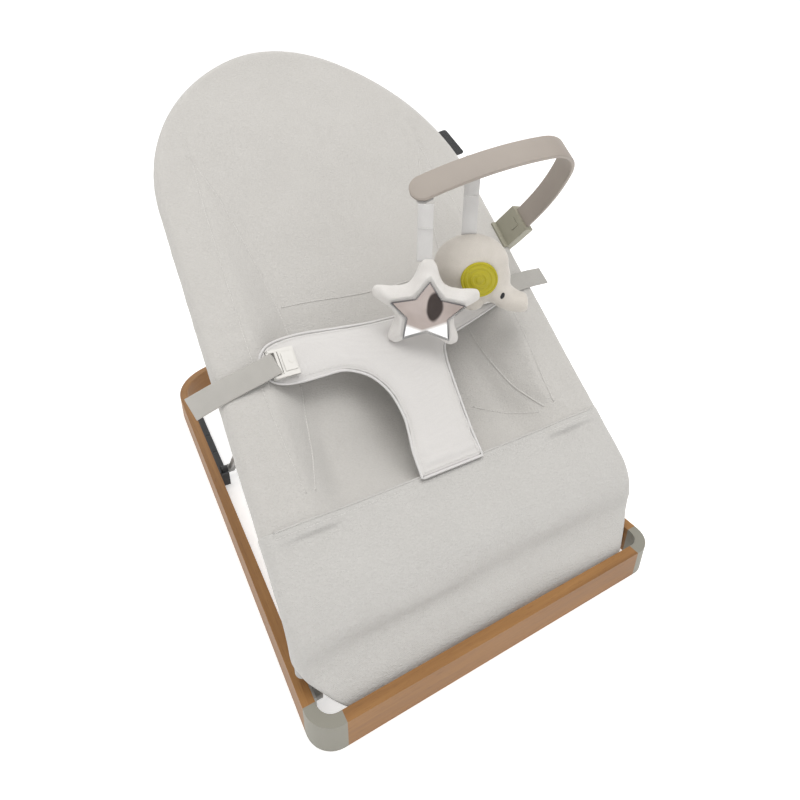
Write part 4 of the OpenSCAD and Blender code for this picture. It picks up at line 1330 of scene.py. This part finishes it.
def build_ear(matrix, out):
    """The ear: a moulded disc turned from (radius, height) pairs, with raised rings."""
    rings = [(3, 3.6), (4, 2.9), (6.5, 2.9), (7.5, 3.6), (10, 3.6), (11, 2.9), (13.5, 2.9), (14.5, 3.6),
             (17, 3.6), (18, 2.9), (19, 2.9), (20, 3.7), (21, 3.2), (21.5, 2.2), (21.5, 0.0)]
    sides = 64
    vertices = [(0, 0, 3.6 * MM)]
    for radius, height in rings:
        vertices += [(x, y, height * MM) for x, y in round_section(radius * MM, sides)]
    faces = [(0, 1 + k, 1 + (k + 1) % sides) for k in range(sides)]
    faces += [tuple(1 + k for k in face[::-1]) for face in ring_faces(len(rings), sides, caps=False)]
    disc = new_object("ear_disc_moulded", vertices, faces)
    disc.data.transform(Matrix.Translation(Vector((*EAR_PLACE, out)) * MM))
    stand_up(disc, matrix)
    bevel(disc, 0.3, 2)
    put(disc, "elephant", EAR, ["ear_disc"])


def build_eye(matrix, out):
    eye = ellipsoid("elephant_eye_stitched", (2.6, 4.2, 1.4), segments=20, rings=12)
    turn = Matrix.Rotation(math.radians(-18), 4, "Z")
    eye.data.transform(Matrix.Translation(Vector((*EYE_PLACE, out)) * MM) @ turn)
    stand_up(eye, matrix)
    put(eye, "elephant", BLACK, ["elephant_eye"])


# ---------- carried-over CAD nodes ----------

def dress_frame():
    """Materials and softened edges of the CAD nodes that stay."""
    finishes = (
        (WOOD, 0.9, "wood_hoop"),
        (WOOD_FRONT, 0.9, "front_rail"),
        (GREY_PLASTIC, 1.4, "corner_left corner_right"),
        (STEEL, 0.2, "corner_screws plate_screws rack_screws clamp_screw"),
        (STEEL, 0.4, "hinge_plates hinge_pins prop_pivot_pins"),
        (RUBBER, 0.3, "foot_pads"),
        (DARK_NYLON, 0.4, "rack_left rack_right prop_foot_left prop_foot_right"),
        (DARK_NYLON, 0.5, "prop_bracket_left prop_bracket_right"),
        (DARK_NYLON, 0, "tube_joiners"),
        (PAINTED, 0.6, "hinge_arm_left hinge_arm_right"),
        (PAINTED, 0.3, "prop_leg_left prop_leg_right prop_cross_bar"),
        (PAINTED, 0.2, "front_cross_tube"),
        (PAINTED, 0, "knee_tube_left knee_tube_right upper_hoop"),
        (WHITE_PLASTIC, 0.3, "buckle_button_left buckle_button_right"),
        (CLAMP_PLASTIC, 0.8, "clamp_body"),
        (CLAMP_PLASTIC, 0.4, "clamp_button"),
        (RIBBON, 0.2, "star_loop elephant_loop"),
        (BLACK, 0.4, "blank_tag"),
    )
    for made, width, nodes in finishes:
        for node in nodes.split():
            piece = frame["nodes"][node]
            paint(piece, made)
            if width:
                bevel(piece, width)


# ---------- stage ----------

def build_floor():
    """A pale floor that curves up into a backdrop far behind."""
    profile = [(-30.0, 0.0), (7.0, 0.0)]
    profile += [(7.0 + 3.0 * math.sin(a), 3.0 - 3.0 * math.cos(a)) for a in np.linspace(0.1, math.pi / 2, 14)]
    profile += [(10.0, 14.0)]
    vertices = [(x, y, z) for y, z in profile for x in (-30.0, 30.0)]
    faces = [(2 * i, 2 * i + 1, 2 * i + 3, 2 * i + 2) for i in range(len(profile) - 1)]
    floor = new_object("floor", vertices, faces)
    floor_shading = Shading("pale_floor")
    pale = floor_shading.ramp(floor_shading.noise(2.0, 2.0), [(0.3, (0.87,) * 3), (0.7, (0.90,) * 3)])
    paint(floor, floor_shading.finish({
        "Base Color": pale, "Roughness": 0.9,
        "Emission Color": (1.0, 1.0, 1.0, 1.0), "Emission Strength": 0.44,
    }))


def build_lights():
    """A soft white surround and three area lamps aimed at the seat."""
    world = bpy.data.worlds.new("studio")
    bpy.context.scene.world = world
    world.use_nodes = True
    background = world.node_tree.nodes["Background"]
    background.inputs["Color"].default_value = (1.0, 0.99, 0.975, 1)
    background.inputs["Strength"].default_value = 0.55
    lights = (
        ("key", (-0.8, -0.7, 3.2), 2.0, 36.0, (1.0, 0.985, 0.96)),
        ("top", (0.8, -0.5, 3.4), 2.4, 40.0, (1.0, 0.995, 0.985)),
        ("fill", (1.3, -1.4, 1.4), 1.6, 1.5, (0.97, 0.98, 1.0)),
    )
    for name, location, size, power, colour in lights:
        data = bpy.data.lights.new(name, "AREA")
        data.energy = power
        data.size = size
        data.color = colour
        lamp = bpy.data.objects.new(name, data)
        lamp.location = location
        lamp.rotation_mode = "QUATERNION"
        lamp.rotation_quaternion = (Vector((0, 0, 0.2)) - Vector(location)).to_track_quat("-Z", "Y")
        bpy.context.scene.collection.objects.link(lamp)
    bpy.context.scene.view_settings.view_transform = "Standard"


def build_camera():
    """The photo's camera, solved from the base's corners, the seat tube and the toys."""
    data = bpy.data.cameras.new("photo_angle")
    data.sensor_width = 36.0
    data.lens = 25.563
    data.shift_y = -0.10
    data.clip_start = 0.01
    data.clip_end = 30.0
    camera = bpy.data.objects.new("photo_angle", data)
    azimuth, elevation, roll = (math.radians(a) for a in (-30.0, 26.43, 0.62))
    back = Vector((math.sin(azimuth) * math.cos(elevation), -math.cos(azimuth) * math.cos(elevation),
                   math.sin(elevation)))
    right = Vector((math.cos(azimuth), math.sin(azimuth), 0))
    up = back.cross(right)
    turned_right = math.cos(roll) * right + math.sin(roll) * up
    turned_up = -math.sin(roll) * right + math.cos(roll) * up
    axes = Matrix((turned_right, turned_up, back)).transposed().to_4x4()
    camera.matrix_world = Matrix.Translation((-0.2918, -0.6031, 0.5683)) @ axes
    bpy.context.scene.collection.objects.link(camera)
    bpy.context.scene.camera = camera


build_camera()
build_floor()
build_lights()
dress_frame()
build_seat_cloth()
build_seat_seams()
build_front_panel()
build_panel_edges()
build_harness()
for strap_side in SIDES:
    build_strap(strap_side)
    build_buckle(strap_side)
build_toy_bar()
build_ribbon("star_ribbon_strip", "star", "star_ribbon", 0.42)
build_ribbon("elephant_ribbon_strip", "elephant", "elephant_ribbon", 0.5)
build_star()
build_elephant()
